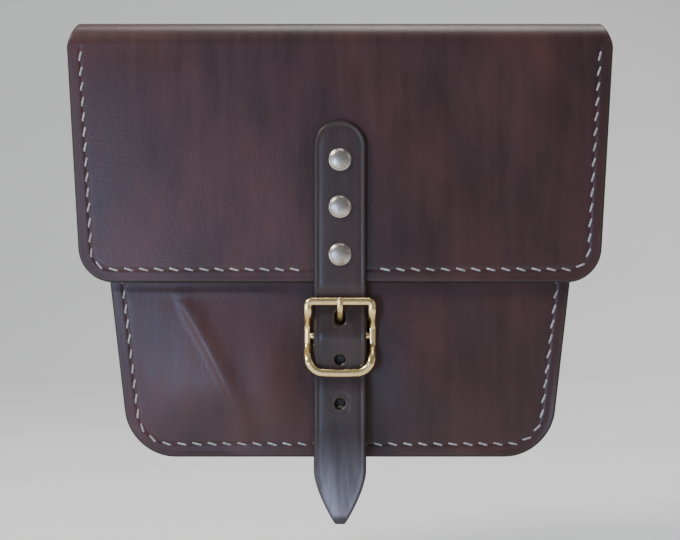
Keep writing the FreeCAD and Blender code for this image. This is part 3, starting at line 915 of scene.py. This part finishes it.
def turned(name: str, profile: Sequence[tuple[float, float]], places: Sequence[tuple[float, float, float]],
           out: float, sides: int = 36) -> bpy.types.Object:
    """Turns a profile about Y at several places.

    A point (r, h) of the profile at angle a goes to (x + r cos a, y + out * h, z + r sin a).

    Args:
        name: the piece's name.
        profile: (radius, height) points. It closes on itself, or starts and ends on the axis.
        places: (x, y, z) of each fitting's foot.
        out: -1 where height points to the front, 1 where it points to the back.
        sides: how many sides each circle has.

    Returns:
        The new object.
    """
    radius, height = np.array(profile, float).T
    angle = full_turn(sides)
    ring = np.stack([radius[:, None] * np.cos(angle), np.broadcast_to(out * height[:, None], (len(radius), sides)),
                     radius[:, None] * np.sin(angle)], -1).reshape(-1, 3)
    points = (np.array(places)[:, None, :] + ring[None]).reshape(-1, 3)
    closed = radius[0] > 0
    one = grid_faces(len(radius), sides, close_rows=closed, close_columns=True)
    return mesh_piece(name, points, repeated(one, len(places), len(ring)))


def dome(radius: float, height: float, rim: float) -> list[tuple[float, float]]:
    """The profile of a rivet cap: a low dome, a rolled rim and a flat underside.

    Args:
        radius: the cap's radius.
        height: how far the dome stands out.
        rim: how thick the rolled rim is.

    Returns:
        (radius, height) points from the axis round to the axis.
    """
    turn = np.linspace(0, 1, 12)
    top = [(radius * 0.86 * t, rim + (height - rim) * math.sqrt(max(1 - (0.93 * t) ** 2, 0))) for t in turn]
    roll = [(radius * (0.9 + 0.1 * math.sin(a)), rim * 0.55 + rim * 0.45 * math.cos(a)) for a in
            np.linspace(0.0, math.pi * 0.9, 8)]
    return [*top, *roll, (0.0, 0.0)]


# ---- Body of the bag


@dataclass
class Hide:
    """The back panel and the flap, which are one piece of leather that folds over the top."""

    flap_edge_half: float = 124.0
    flap_top_half: float = 130.0
    back_top_half: float = 123.6
    back_bottom_half: float = 101.0
    flap_radius: float = 16.0
    body_radius: float = 22.0
    front_bend: float = 9.0
    rear_bend: float = 7.0
    shoulder: float = 16.0
    flap_thickness: float = 3.6
    back_thickness: float = 2.8
    stitch_inset: float = 6.3
    draw_in: float = 4.2
    eyelet_flange: float = 7.5
    eyelet_barrel: float = 4.2
    flange_recess: float = 1.05
    bend_from: float = -3.4
    bend_to: float = -16.0

    def __post_init__(self) -> None:
        """Lays the route out along the middle of the leather."""
        half = self.flap_thickness / 2
        front_y, top_z, back_y = FLAP_Y + half, TOP_Z - half, -half
        self.route = Route([(front_y, EDGE_Z, 0), (front_y, top_z, self.front_bend), (back_y, top_z, self.rear_bend),
                            (back_y, BOTTOM_Z, 0)])
        self.front_turn = top_z - EDGE_Z - self.front_bend
        self.top_start = self.front_turn + self.front_bend * math.pi / 2
        self.top_end = self.top_start + (back_y - front_y) - self.front_bend - self.rear_bend
        self.back_start = self.top_end + self.rear_bend * math.pi / 2

    def half_width(self, s: Array) -> Array:
        """The flap widens to the top, and the shoulders draw in smoothly where it becomes the back.

        Args:
            s: distances along the hide, from the flap's edge.

        Returns:
            The half widths.
        """
        flap = self.flap_edge_half + (self.flap_top_half - self.flap_edge_half) * np.minimum(s / self.front_turn, 1)
        down = np.clip((s - self.back_start) / (self.route.length - self.back_start), 0, 1)
        back = self.back_top_half + (self.back_bottom_half - self.back_top_half) * down
        drawn = self.draw_in * smooth((s - self.front_turn + 2) / (self.top_start - self.front_turn + 1))
        return flap - drawn + (back - flap + drawn) * smooth((s - self.top_end + 6) / self.shoulder)

    def relief(self, x: Array, s: Array) -> Array:
        """Slow waves in the flap. They fade out at the bends and on the back, which lies on the bracket.

        Args:
            x: points across the hide.
            s: points along it.

        Returns:
            The relief's heights.
        """
        free = 1 - smooth((s - self.front_turn + 14) / 14)
        top = smooth((s - self.top_start) / 12) * (1 - smooth((s - self.top_end + 8) / 8))
        waves = 0.32 * np.sin(x / 31.0 + 0.8) * np.cos(s / 42.0 + 0.4) + 0.2 * np.sin(x / 17.0 + s / 60.0)
        dip = -1.6 * np.cos(np.clip(x / self.flap_top_half, -1, 1) * math.pi / 2)
        strap_press = -0.25 * np.exp(-((x / 15.0) ** 4)) * smooth((92 - s) / 20)
        return free * (waves + strap_press) + top * (0.6 * waves + dip)

    def bores(self) -> list[Bore]:
        """The holes for the mounting eyelets, with recesses for their flanges.

        Returns:
            One bore for each eyelet.
        """
        low, high = node_box("mount_eyelets")
        rim, bottom = self.eyelet_flange, self.route.length + BOTTOM_Z
        spots = [(x, z) for x in (low[0] + rim, high[0] - rim) for z in (low[2] + rim, high[2] - rim)]
        return [Bore(x, bottom - z, self.eyelet_barrel + 0.1, rim + 0.1, self.flange_recess) for x, z in spots]

    def build(self, finishes: Finishes) -> Place:
        """Makes the hide.

        Args:
            finishes: the bag's finishes.

        Returns:
            Its placing, for the stitches.
        """
        bends = [(self.front_turn - 2, self.top_start + 2), (self.top_end - 2, self.back_start + 2)]
        cut = Cut(self.route.length, self.half_width, self.flap_thickness, self.flap_radius, self.body_radius, 30.0,
                  3.2, bends=bends, bend_step=0.75, edge_round=1.1, groove_inset=self.stitch_inset,
                  groove_depth=0.32, relief=self.relief,
                  groove_gaps=[(self.front_turn - 2, self.route.length - (MOUTH_Z - BOTTOM_Z) + 2)],
                  groove_growth=lambda s: 1 + 1.4 * smooth((s - self.back_start) / 10), bores=self.bores())
        thin = (self.flap_thickness - self.back_thickness) / 2

        def place(x: Array, s: Array, height: Array) -> Array:
            """Carries the leather along its route, thinner on the back, which has no lining.

            Args:
                x: points across the leather.
                s: points along it.
                height: heights above its middle.

            Returns:
                (..., 3) points.
            """
            back = smooth((s - self.back_start) / 10)
            ratio = 1 - (1 - self.back_thickness / self.flap_thickness) * back
            return along_yz(self.route)(x, s, height * ratio + thin * back)

        bend = Bend("root", "flap", (0, self.bend_from, HINGE_Z), (0, self.bend_to, HINGE_Z))
        dress(cut.build("flap_and_back", place), finishes.leather, "leather", bend, "flap_outer", "flap_lining",
              "back_panel")
        return on_relief(place, self.relief)


@dataclass
class FrontPanel:
    """The front panel, with a crease across its lower left and the flap's print under its edge."""

    thickness: float = 2.8
    bottom_half: float = 101.0
    top_half: float = 123.0
    radius: float = 22.0
    stitch_inset: float = 6.3
    crease_from: tuple[float, float] = (-76.0, -39.0)
    crease_to: tuple[float, float] = (-42.0, -108.0)
    crease_top: float = 1.5
    crease_height: float = 0.72
    crease_rise: float = 5.5
    crease_fall: float = 1.9
    belly: float = 2.6

    def relief(self, x: Array, s: Array) -> Array:
        """Slow waves, a belly low down, a crease and a ridge where the flap's edge rests.

        The crease is a ridge of height * exp(-(d / w)^2), where w is large on the side that rises gently and small on
        the side that falls steeply.

        Args:
            x: points across the panel.
            s: points up it.

        Returns:
            The relief's heights.
        """
        z = BOTTOM_Z + s
        start, end = np.array(self.crease_from), np.array(self.crease_to)
        way = end - start
        reach = float(np.hypot(*way))
        way = way / reach
        along = ((x - start[0]) * way[0] + (z - start[1]) * way[1]) / reach
        off = (x - start[0]) * way[1] - (z - start[1]) * way[0] + 1.8 * np.sin(along * 3.0)
        ends = smooth((along + 0.08) / 0.2) * (1 - smooth((along - 0.9) / 0.15))
        off = off - self.crease_top
        crease_width = np.where(off < 0, self.crease_rise, self.crease_fall)
        crease = self.crease_height * np.exp(-((off / crease_width) ** 2))
        print_line = 0.34 * np.exp(-(((z - EDGE_Z + 5.0) / 1.3) ** 2)) * smooth((-20 - x) / 15)
        low = smooth((EDGE_Z - 2 - z) / 16)
        waves = 0.55 * np.sin(x / 27.0 + z / 50.0) * np.cos(z / 38.0) + 0.25 * np.sin(x / 12.5 - z / 31.0)
        clear = 1 - np.exp(-((x / 27.0) ** 4))
        sides = smooth((x + 98) / 45) * smooth((98 - x) / 60)
        ends_up = smooth((EDGE_Z + 6 - z) / 66) * smooth((z - BOTTOM_Z - 3) / 36)
        belly = self.belly * sides * (1 - 0.45 * smooth(x / 60)) * ends_up
        return clear * (ends * crease + print_line + low * waves + belly)

    def build(self, finishes: Finishes) -> Place:
        """Makes the panel.

        Args:
            finishes: the bag's finishes.

        Returns:
            Its placing, for the stitches.
        """
        route = upright(FRONT_Y + self.thickness / 2, BOTTOM_Z, MOUTH_Z)
        width = straight(self.bottom_half, self.top_half, route.length)
        cut = Cut(route.length, width, self.thickness, self.radius, 0.0, 30.0, 1.4, edge_round=1.0,
                  groove_inset=self.stitch_inset, groove_depth=0.32, relief=self.relief)
        place = along_yz(route)
        dress(cut.build("front_panel_leather", place), finishes.leather, "leather", "root", "front_panel")
        return on_relief(place, self.relief)


@dataclass
class Gusset:
    """The strip that makes the sides and bottom, with its edges turned out and sewn between the panels."""

    thickness: float = 2.4
    inset: float = 0.8
    flange: float = 12.0
    corner_bend: float = 2.6
    pinch: float = 3.0
    pinch_at: tuple[float, float] = (0.13, 0.87)
    pinch_width: float = 0.12
    panel: float = 2.8
    bottom_half: float = 101.0
    top_half: float = 123.0
    radius: float = 22.0
    steps: tuple[float, ...] = (0.0, 0.08, 0.25, 0.5, 0.85, 1.3, 2.5, 4.5, 7.0, 9.5, 10.5, 11.2, 11.9, 12.6, 13.3, 14.0,
                                15.0, 17.0)

    def build(self, finishes: Finishes) -> None:
        """Makes the gusset.

        The cross section is a route in (inset, y). It is carried round the body's outline, and its inset is measured
        along the outline's inward normal.

        Args:
            finishes: the bag's finishes.
        """
        half = self.thickness / 2
        front, back = FRONT_Y + self.panel + half, -self.panel - half
        web = self.inset + self.flange + half
        section = Route([(self.inset, front, 0), (web, front, self.corner_bend), (web, back, self.corner_bend),
                         (self.inset, back, 0)])
        outline = u_line(self.top_half, MOUTH_Z, self.bottom_half, BOTTOM_Z, self.radius)

        def place(x: Array, s: Array, height: Array) -> Array:
            """Carries the strip's section round the outline. The sides of the web are drawn in a little.

            Args:
                x: points across the strip.
                s: points along it.
                height: heights above its middle.

            Returns:
                (..., 3) points.
            """
            u = x + section.length / 2
            mid, normal = section.at(u)
            inset = mid[..., 0] + normal[..., 0] * height
            y = mid[..., 1] + normal[..., 1] * height
            t = s / outline.length
            side = sum(np.exp(-(((t - at) / self.pinch_width) ** 2)) for at in self.pinch_at)
            reach = np.clip((y - front) / (back - front), 0, 1)
            inset = inset + self.pinch * side * np.sin(reach * math.pi) ** 2
            point, inward = outline.at(s)
            spot = point + inward * inset[..., None]
            return np.stack([spot[..., 0], y, spot[..., 1]], -1)

        cut = Cut(outline.length, even(section.length / 2), self.thickness, step=2.6, edge_zone=24.0, edge_round=1.0,
                  fine=self.steps)
        dress(cut.build("gusset_leather", place), finishes.leather, "leather", "root", "gusset")


# ---- Strap, chape and buckle


@dataclass
class ClosingStrap:
    """The strap that is riveted to the flap and passes through the buckle, as one piece."""

    width: float = 25.0
    thickness: float = 3.0
    above_edge: float = 77.3
    tail: float = 88.6
    tip_half: float = 2.4
    taper: float = 25.0
    hole_radius: float = 2.1
    holes: tuple[float, ...] = (-11.0, -32.0)
    prong_rise: float = 8.3
    prong_slot: float = 1.3
    bend_above: float = 3.0
    bend_below: float = 6.0

    def __post_init__(self) -> None:
        """Lays the route from the tip, through the buckle, to the round top end."""
        self.route = in_front([(-self.tail, 14.6, 0), (-43.0, 7.6, 40), (-25.8, 7.6, 20), (-15.8, 5.9, 10),
                               (0.0, 9.7, 12), (15.7, 5.0, 8), (23.9, 7.0, 10), (25.4 + self.above_edge, 7.0, 0)])

    def s_at(self, rise: float) -> float:
        """The distance along the strap at a height above the centre bar."""
        s = np.linspace(0, self.route.length, 4000)
        return float(np.interp(BAR_Z + rise, self.route.at(s)[0][:, 1], s))

    def half_width(self, s: Array) -> Array:
        """Full width down to the taper, then a leaf shape to the blunt tip."""
        t = np.clip(s / self.taper, 0, 1)
        return self.tip_half + (self.width / 2 - self.tip_half) * (1 - (1 - t) ** 1.55)

    def build(self, finishes: Finishes) -> None:
        """Makes the strap, which runs from its tail over the flap's edge and up the flap.

        Args:
            finishes: the bag's finishes.
        """
        half = self.width / 2
        holes = [Opening(self.s_at(rise), self.hole_radius) for rise in self.holes]
        holes.append(Opening(self.s_at(self.prong_rise), self.hole_radius, self.prong_slot))
        cut = Cut(self.route.length, self.half_width, self.thickness, 1.8, half - 0.05, 0.0, 1.7,
                  fine=STRAP_STEPS, edge_round=1.2, openings=holes, open_block=4.6,
                  groove_inset=2.6, groove_depth=0.16)
        bend = Bend("flap", "strap_tail", (0, FLEX_Y, FLEX_Z + self.bend_above), (0, FLEX_Y, FLEX_Z - self.bend_below))
        dress(cut.build("closing_strap_leather", along_yz(self.route)), finishes.strap, "strap_leather", bend,
              "closing_strap", "closing_strap_tail")


@dataclass
class Chape:
    """The doubled tab that wraps the buckle's centre bar and is riveted to the front panel."""

    thickness: float = 1.8
    width: float = 23.0
    length: float = 43.0
    lap: float = 0.2
    fold: float = 3.6
    bar_lift: float = 3.6
    radius: float = 4.0
    slot_radius: float = 2.5
    half_slot: float = 7.0

    def build(self, finishes: Finishes) -> None:
        """Makes the chape, with a slot for the prong where it goes round the bar.

        Args:
            finishes: the bag's finishes.
        """
        half = self.thickness / 2
        turn = self.fold - half
        outer = 2 * self.thickness + self.lap - half
        route = in_front([(-self.length, outer, 0), (-8.5, outer, 3), (-0.8, self.bar_lift + turn, 2),
                          (turn, self.bar_lift + turn, turn), (turn, half, turn), (-self.length, half, 0)])
        s = np.linspace(0, route.length, 2000)
        top = float(np.argmax(route.at(s)[0][:, 1])) / (len(s) - 1) * route.length
        slot = Opening(top, self.slot_radius, self.half_slot)
        cut = Cut(route.length, even(self.width / 2), self.thickness, self.radius, self.radius, 0.0, 1.8,
                  fine=STRAP_STEPS[:6], edge_round=0.8, openings=[slot], open_block=5.0, bend_step=0.5,
                  bends=[(top - 16, top - 5), (top + 5, top + 12)])
        dress(cut.build("buckle_chape_leather", along_yz(route)), finishes.tab, "strap_leather", "root",
              "buckle_chape")


@dataclass
class Buckle:
    """A cast centre-bar buckle and its prong."""

    half_width: float = 15.25
    half_height: float = 16.7
    top_radius: float = 2.0
    foot_radius: float = 7.2
    foot_sag: float = 0.7
    rail: float = 3.9
    depth: float = 3.4
    bar_radius: float = 1.75
    bar_lift: float = 3.6
    end_lift: float = 9.8
    opening: float = 26.6
    bar_sunk: float = 1.2
    prong_width: float = 3.4
    prong_depth: float = 2.2
    prong_line: tuple[tuple[float, float, float], ...] = ((2.05, 5.5, 0), (6.0, 5.5, 3), (13.6, 12.9, 4),
                                                          (18.9, 12.9, 0))
    eye_radius: float = 2.4
    eye_wall: float = 0.58
    eye_half: float = 2.15

    def sweep(self, name: str, centre: Array, side: Array, up: Array, across: Array, depth: Array,
              closed: bool) -> bpy.types.Object:
        """Carries a rounded section along a line in space.

        The section is a superellipse of power 2.5: a point at angle a lies at |cos a|^0.8 across and |sin a|^0.8 deep.

        Args:
            name: the piece's name.
            centre: (n, 3) points of the line.
            side: (n, 3) unit vectors across the section.
            up: (n, 3) unit vectors through its depth.
            across: the section's half width at each point.
            depth: its half depth at each point.
            closed: whether the line joins on to its start.

        Returns:
            The new object.
        """
        angle = full_turn(24)
        wide, deep = (np.sign(part) * np.abs(part) ** 0.8 for part in (np.cos(angle), np.sin(angle)))
        points = (centre[:, None] + side[:, None] * (across[:, None] * wide)[..., None]
                  + up[:, None] * (depth[:, None] * deep)[..., None])
        faces = grid_faces(len(centre), len(angle), close_rows=closed, close_columns=True)
        return mesh_piece(name, points.reshape(-1, 3), faces)

    def build(self, finishes: Finishes) -> None:
        """Makes the frame, with its centre bar, and the prong, with its eye.

        Args:
            finishes: the bag's finishes.
        """
        wide, high, top, foot = self.half_width, self.half_height, self.top_radius, self.foot_radius
        outline = Route([(0, high, 0), (-wide, high, top), (-wide, -high, foot), (wide, -high, foot),
                         (wide, high, top), (0, high, 0)])
        s = np.linspace(0, outline.length, 260, endpoint=False)
        flat, normal = outline.at(s)
        sag = np.where(flat[:, 1] < -10, np.cos(flat[:, 0] / wide * math.pi / 2), 0)
        rise = flat[:, 1] - self.foot_sag * sag
        lift = self.bar_lift + (self.end_lift - self.bar_lift) * smooth((np.abs(rise) - 3.5) / 9.5)
        centre = np.stack([flat[:, 0], FRONT_Y - lift, BAR_Z + rise], -1)
        side = np.stack([normal[:, 0], np.zeros(len(s)), normal[:, 1]], -1)
        tangent = np.roll(centre, -1, 0) - np.roll(centre, 1, 0)
        tangent /= np.linalg.norm(tangent, axis=1)[:, None]
        up = np.cross(side, tangent)
        ring = self.sweep("buckle_ring", centre, side, up, np.full(len(s), self.rail / 2),
                          np.full(len(s), self.depth / 2), True)
        dress(ring, finishes.brass, "brass", "buckle", "buckle_frame")
        x = np.linspace(-self.opening / 2 - self.bar_sunk, self.opening / 2 + self.bar_sunk, 30)
        bar_centre = np.stack([x, np.full(30, BAR_Y), np.full(30, BAR_Z)], -1)
        angle = full_turn(28)
        circle = np.stack([np.zeros(28), np.cos(angle), np.sin(angle)], -1) * self.bar_radius
        shell = np.concatenate([bar_centre[:1, None] + 0 * circle, bar_centre[:, None] + circle,
                                bar_centre[-1:, None] + 0 * circle])
        bar = mesh_piece("buckle_centre_bar", shell.reshape(-1, 3), grid_faces(32, 28, close_columns=True))
        dress(bar, finishes.brass, "brass", "buckle")
        self.build_prong(finishes)

    def build_prong(self, finishes: Finishes) -> None:
        """Makes the prong: a tapered blade that bends up through the strap, and a loop round the bar.

        Args:
            finishes: the bag's finishes.
        """
        blade = in_front(self.prong_line)
        s = np.linspace(0, blade.length, 60)
        flat, normal = blade.at(s)
        t = s / blade.length
        ends = np.sqrt(np.clip(1 - np.clip((t - 0.93) / 0.07, 0, 1) ** 2, 0, 1))
        wide = self.prong_width / 2 * (1 - 0.22 * t) * ends
        deep = self.prong_depth / 2 * (1 - 0.12 * t) * ends
        centre = np.stack([np.zeros(60), flat[:, 0], flat[:, 1]], -1)
        up = np.stack([np.zeros(60), normal[:, 0], normal[:, 1]], -1)
        side = np.tile([1.0, 0.0, 0.0], (60, 1))
        wide[0], deep[0] = 0.0, 0.0
        piece = self.sweep("buckle_prong_blade", centre, side, up, wide, deep, False)
        dress(piece, finishes.brass, "brass", "prong", "buckle_prong")
        angle, section = full_turn(48), full_turn(16)
        radius = self.eye_radius + self.eye_wall * np.cos(section)[None, :] + 0 * angle[:, None]
        loop = np.stack([self.eye_half * np.sin(section)[None, :] + 0 * angle[:, None],
                         BAR_Y + radius * np.cos(angle)[:, None], BAR_Z + radius * np.sin(angle)[:, None]], -1)
        eye = mesh_piece("buckle_prong_eye", loop.reshape(-1, 3), grid_faces(48, 16, True, True))
        dress(eye, finishes.brass, "brass", "prong")


# ---- Fittings and rows of stitches


WASHER = [(1.7, 0.0), (1.7, 0.8), (2.0, 1.0), (5.0, 1.0), (5.35, 0.75), (5.4, 0.0)]
POST = [(0.0, 0.9), (1.5, 0.85), (1.62, 0.6), (1.62, 0.0), (0.0, 0.0)]
EYELET = [(3.2, -5.8), (3.2, -0.5), (3.5, -0.1), (4.2, 0.0), (6.9, 0.0), (7.4, -0.25), (7.5, -0.8), (4.2, -0.8),
          (4.2, -5.0), (7.5, -5.0), (7.4, -5.6), (7.0, -5.8)]


@dataclass
class Fittings:
    """Rivets, eyelets, the stiffener and the patch. A lift is out of the flap or the front panel, a depth into it."""

    rivet_rises: tuple[float, ...] = (13.6, 36.2, 58.5)
    chape_drops: tuple[float, ...] = (23.5, 37.0)
    strap_lift: float = 3.0
    chape_lift: float = 3.8
    lining_lift: float = 1.9
    patch_depth: float = 4.8
    patch_thickness: float = 2.0
    patch_radius: float = 5.0
    small_washer: float = 4.5
    eyelet_x: float = 75.0
    eyelet_z: float = 50.0

    def build(self, finishes: Finishes) -> None:
        """Makes every fitting.

        Args:
            finishes: the bag's finishes.
        """
        strap = [(0.0, FLAP_Y - self.strap_lift, EDGE_Z + rise) for rise in self.rivet_rises]
        chape = [(0.0, FRONT_Y - self.chape_lift, BAR_Z - drop) for drop in self.chape_drops]
        inner_flap = [(0.0, FRONT_Y - self.lining_lift, z) for _, _, z in strap]
        inner_front = [(0.0, FRONT_Y + self.patch_depth, z) for _, _, z in chape]
        small = [(min(r, self.small_washer), h) for r, h in WASHER]
        rows = [
            ("strap_rivet_domes", dome(5.4, 2.2, 0.85), strap, -1, "flap", ["strap_rivet_caps"]),
            ("chape_rivet_domes", dome(4.5, 1.3, 0.6), chape, -1, "root", ["chape_rivet_caps"]),
            ("strap_rivet_burrs", WASHER, inner_flap, 1, "flap", ["strap_rivet_bases"]),
            ("strap_rivet_post_ends", POST, inner_flap, 1, "flap", []),
            ("chape_rivet_burrs", small, inner_front, 1, "root", ["chape_rivet_bases"]),
            ("chape_rivet_post_ends", POST, inner_front, 1, "root", []),
        ]
        for name, profile, places, out, body, nodes in rows:
            dress(turned(name, profile, places, out), finishes.nickel, "nickel", body, *nodes)
        holes = [(sx * self.eyelet_x, 0.0, sz * self.eyelet_z) for sx in (-1, 1) for sz in (-1, 1)]
        dress(turned("mount_eyelet_rings", EYELET, holes, 1), finishes.brass, "brass", "root", "mount_eyelets")
        stiffener = frame["nodes"]["back_stiffener"]
        stiffener.data.materials.clear()
        stiffener.data.materials.append(finishes.plastic)
        low, high = node_box("front_patch")
        route = upright((low[1] + high[1]) / 2, low[2], high[2])
        patch = Cut(route.length, even(high[0]), self.patch_thickness, self.patch_radius, self.patch_radius, 0.0, 2.5,
                    fine=STRAP_STEPS[:6], edge_round=0.8)
        dress(patch.build("front_patch_leather", along_yz(route)), finishes.leather, "leather", "root", "front_patch")


def sew(finishes: Finishes, hide: Hide, hide_place: Place, front: FrontPanel, front_place: Place) -> None:
    """Sews the flap, the front panel and the back.

    Args:
        finishes: the bag's finishes.
        hide: the back and flap.
        hide_place: the hide's placing.
        front: the front panel.
        front_place: the front panel's placing.
    """
    inset = hide.stitch_inset
    top = hide.front_turn - 2.0
    wide = hide.half_width(np.array([inset, top])) - inset
    length, total = MOUTH_Z - BOTTOM_Z, hide.route.length
    low = front.bottom_half + (front.top_half - front.bottom_half) * inset / length - inset
    high, radius = front.top_half - inset, front.radius - inset
    flap_line = u_line(wide[1], top, wide[0], inset, hide.flap_radius - inset)
    front_line = u_line(high, length - 2, low, inset, radius)
    back_line = u_line(high, total - length + 6, low, total - inset, radius)
    surface, under_strap, back_step = hide.flap_thickness / 2, 14.5, 0.42
    rows = [("flap", flap_line, hide_place, surface, under_strap, "flap"),
            ("front", front_line, front_place, front.thickness / 2, 0.0, "root"),
            ("back", back_line, hide_place, surface - back_step, 0.0, "root")]
    for name, line, place, height, clear, body in rows:
        stitches = Stitching().build(f"{name}_stitches", line, place, height, clear)
        dress(stitches, finishes.thread, "thread", body, f"{name}_stitching")


# ---- Studio


@dataclass
class Studio:
    """A pale floor and backdrop, soft lights and the camera."""

    lens: float = 100.0
    distance: float = 0.94
    elevation: float = 1.5
    aim: tuple[float, float, float] = (0.0, -0.045, -0.027)
    air: Colour = (0.86, 0.9, 0.96)
    air_strength: float = 0.26
    paper: Colour = (0.78, 0.78, 0.78)
    lamps: tuple[tuple[str, tuple[float, float, float], float, float, Colour], ...] = (
        ("key", (-0.95, -0.75, 1.0), 0.45, 20.0, (1.0, 0.96, 0.91)),
        ("sky", (-0.33, -0.95, -0.09), 0.16, 2.3, (0.44, 0.61, 1.0)),
        ("low", (-0.9, -0.75, -0.1), 0.5, 3.0, (0.74, 0.84, 1.0)),
        ("fill", (1.2, -0.7, 0.4), 0.8, 1.3, (1.0, 0.97, 0.94)),
        ("top", (0.1, 0.15, 1.2), 0.7, 12.0, (1.0, 1.0, 1.0)),
        ("rear", (0.9, 1.2, 0.8), 0.9, 10.0, (1.0, 0.99, 0.97)),
    )

    def build(self) -> None:
        """Builds the stage, the lights and the camera."""
        self._floor()
        for lamp in self.lamps:
            self._lamp(*lamp)
        world = bpy.data.worlds.new("studio_world")
        world.use_nodes = True
        background = world.node_tree.nodes["Background"].inputs
        background["Color"].default_value = (*self.air, 1.0)
        background["Strength"].default_value = self.air_strength
        bpy.context.scene.world = world
        camera = bpy.data.objects.new("camera", bpy.data.cameras.new("camera"))
        camera.data.lens = self.lens
        tilt = math.radians(self.elevation)
        x, y, z = self.aim
        camera.location = (x, y - self.distance * math.cos(tilt), z + self.distance * math.sin(tilt))
        camera.rotation_euler = (math.pi / 2 - tilt, 0.0, 0.0)
        bpy.context.scene.collection.objects.link(camera)
        bpy.context.scene.camera = camera

    def _floor(self) -> None:
        """A floor that curves up into a backdrop. Its section is a line, a quarter circle and a line."""
        section = Route([(-14000.0, -190.0, 0), (1800.0, -190.0, 700.0), (1800.0, 2600.0, 0)])
        s = np.linspace(0, section.length, 60)
        points, _ = section.at(s)
        x = np.linspace(-9000, 9000, 3)
        grid = np.stack(np.broadcast_arrays(x[None, :], points[:, None, 0], points[:, None, 1]), -1)
        floor = mesh_piece("studio_floor", grid.reshape(-1, 3), grid_faces(60, 3))
        g = Graph("studio_paper")
        floor.data.materials.append(g.surface({"Base Color": (*self.paper, 1.0), "Roughness": 0.9}))

    def _lamp(self, name: str, spot: tuple[float, float, float], size: float, power: float, colour: Colour) -> None:
        """A square soft light aimed at the bag.

        Args:
            name: the lamp's name.
            spot: where it stands, in metres.
            size: its side, in metres.
            power: its strength, in watts.
            colour: its colour.
        """
        lamp = bpy.data.lights.new(name, "AREA")
        lamp.shape, lamp.size, lamp.energy, lamp.color = "SQUARE", size, power, colour
        made = bpy.data.objects.new(name, lamp)
        made.location = spot
        aim = Vector(self.aim) - Vector(spot)
        made.rotation_euler = aim.to_track_quat("-Z", "Y").to_euler()
        bpy.context.scene.collection.objects.link(made)


def main() -> None:
    """Builds the bag piece by piece, then the studio."""
    logging.basicConfig(level=logging.INFO, format="%(name)s %(message)s")
    finishes = Finishes()
    hide, front = Hide(), FrontPanel()
    hide_place = hide.build(finishes)
    front_place = front.build(finishes)
    Gusset().build(finishes)
    ClosingStrap().build(finishes)
    Chape().build(finishes)
    Buckle().build(finishes)
    Fittings().build(finishes)
    sew(finishes, hide, hide_place, front, front_place)
    Studio().build()


if __name__ == "__main__":
    main()
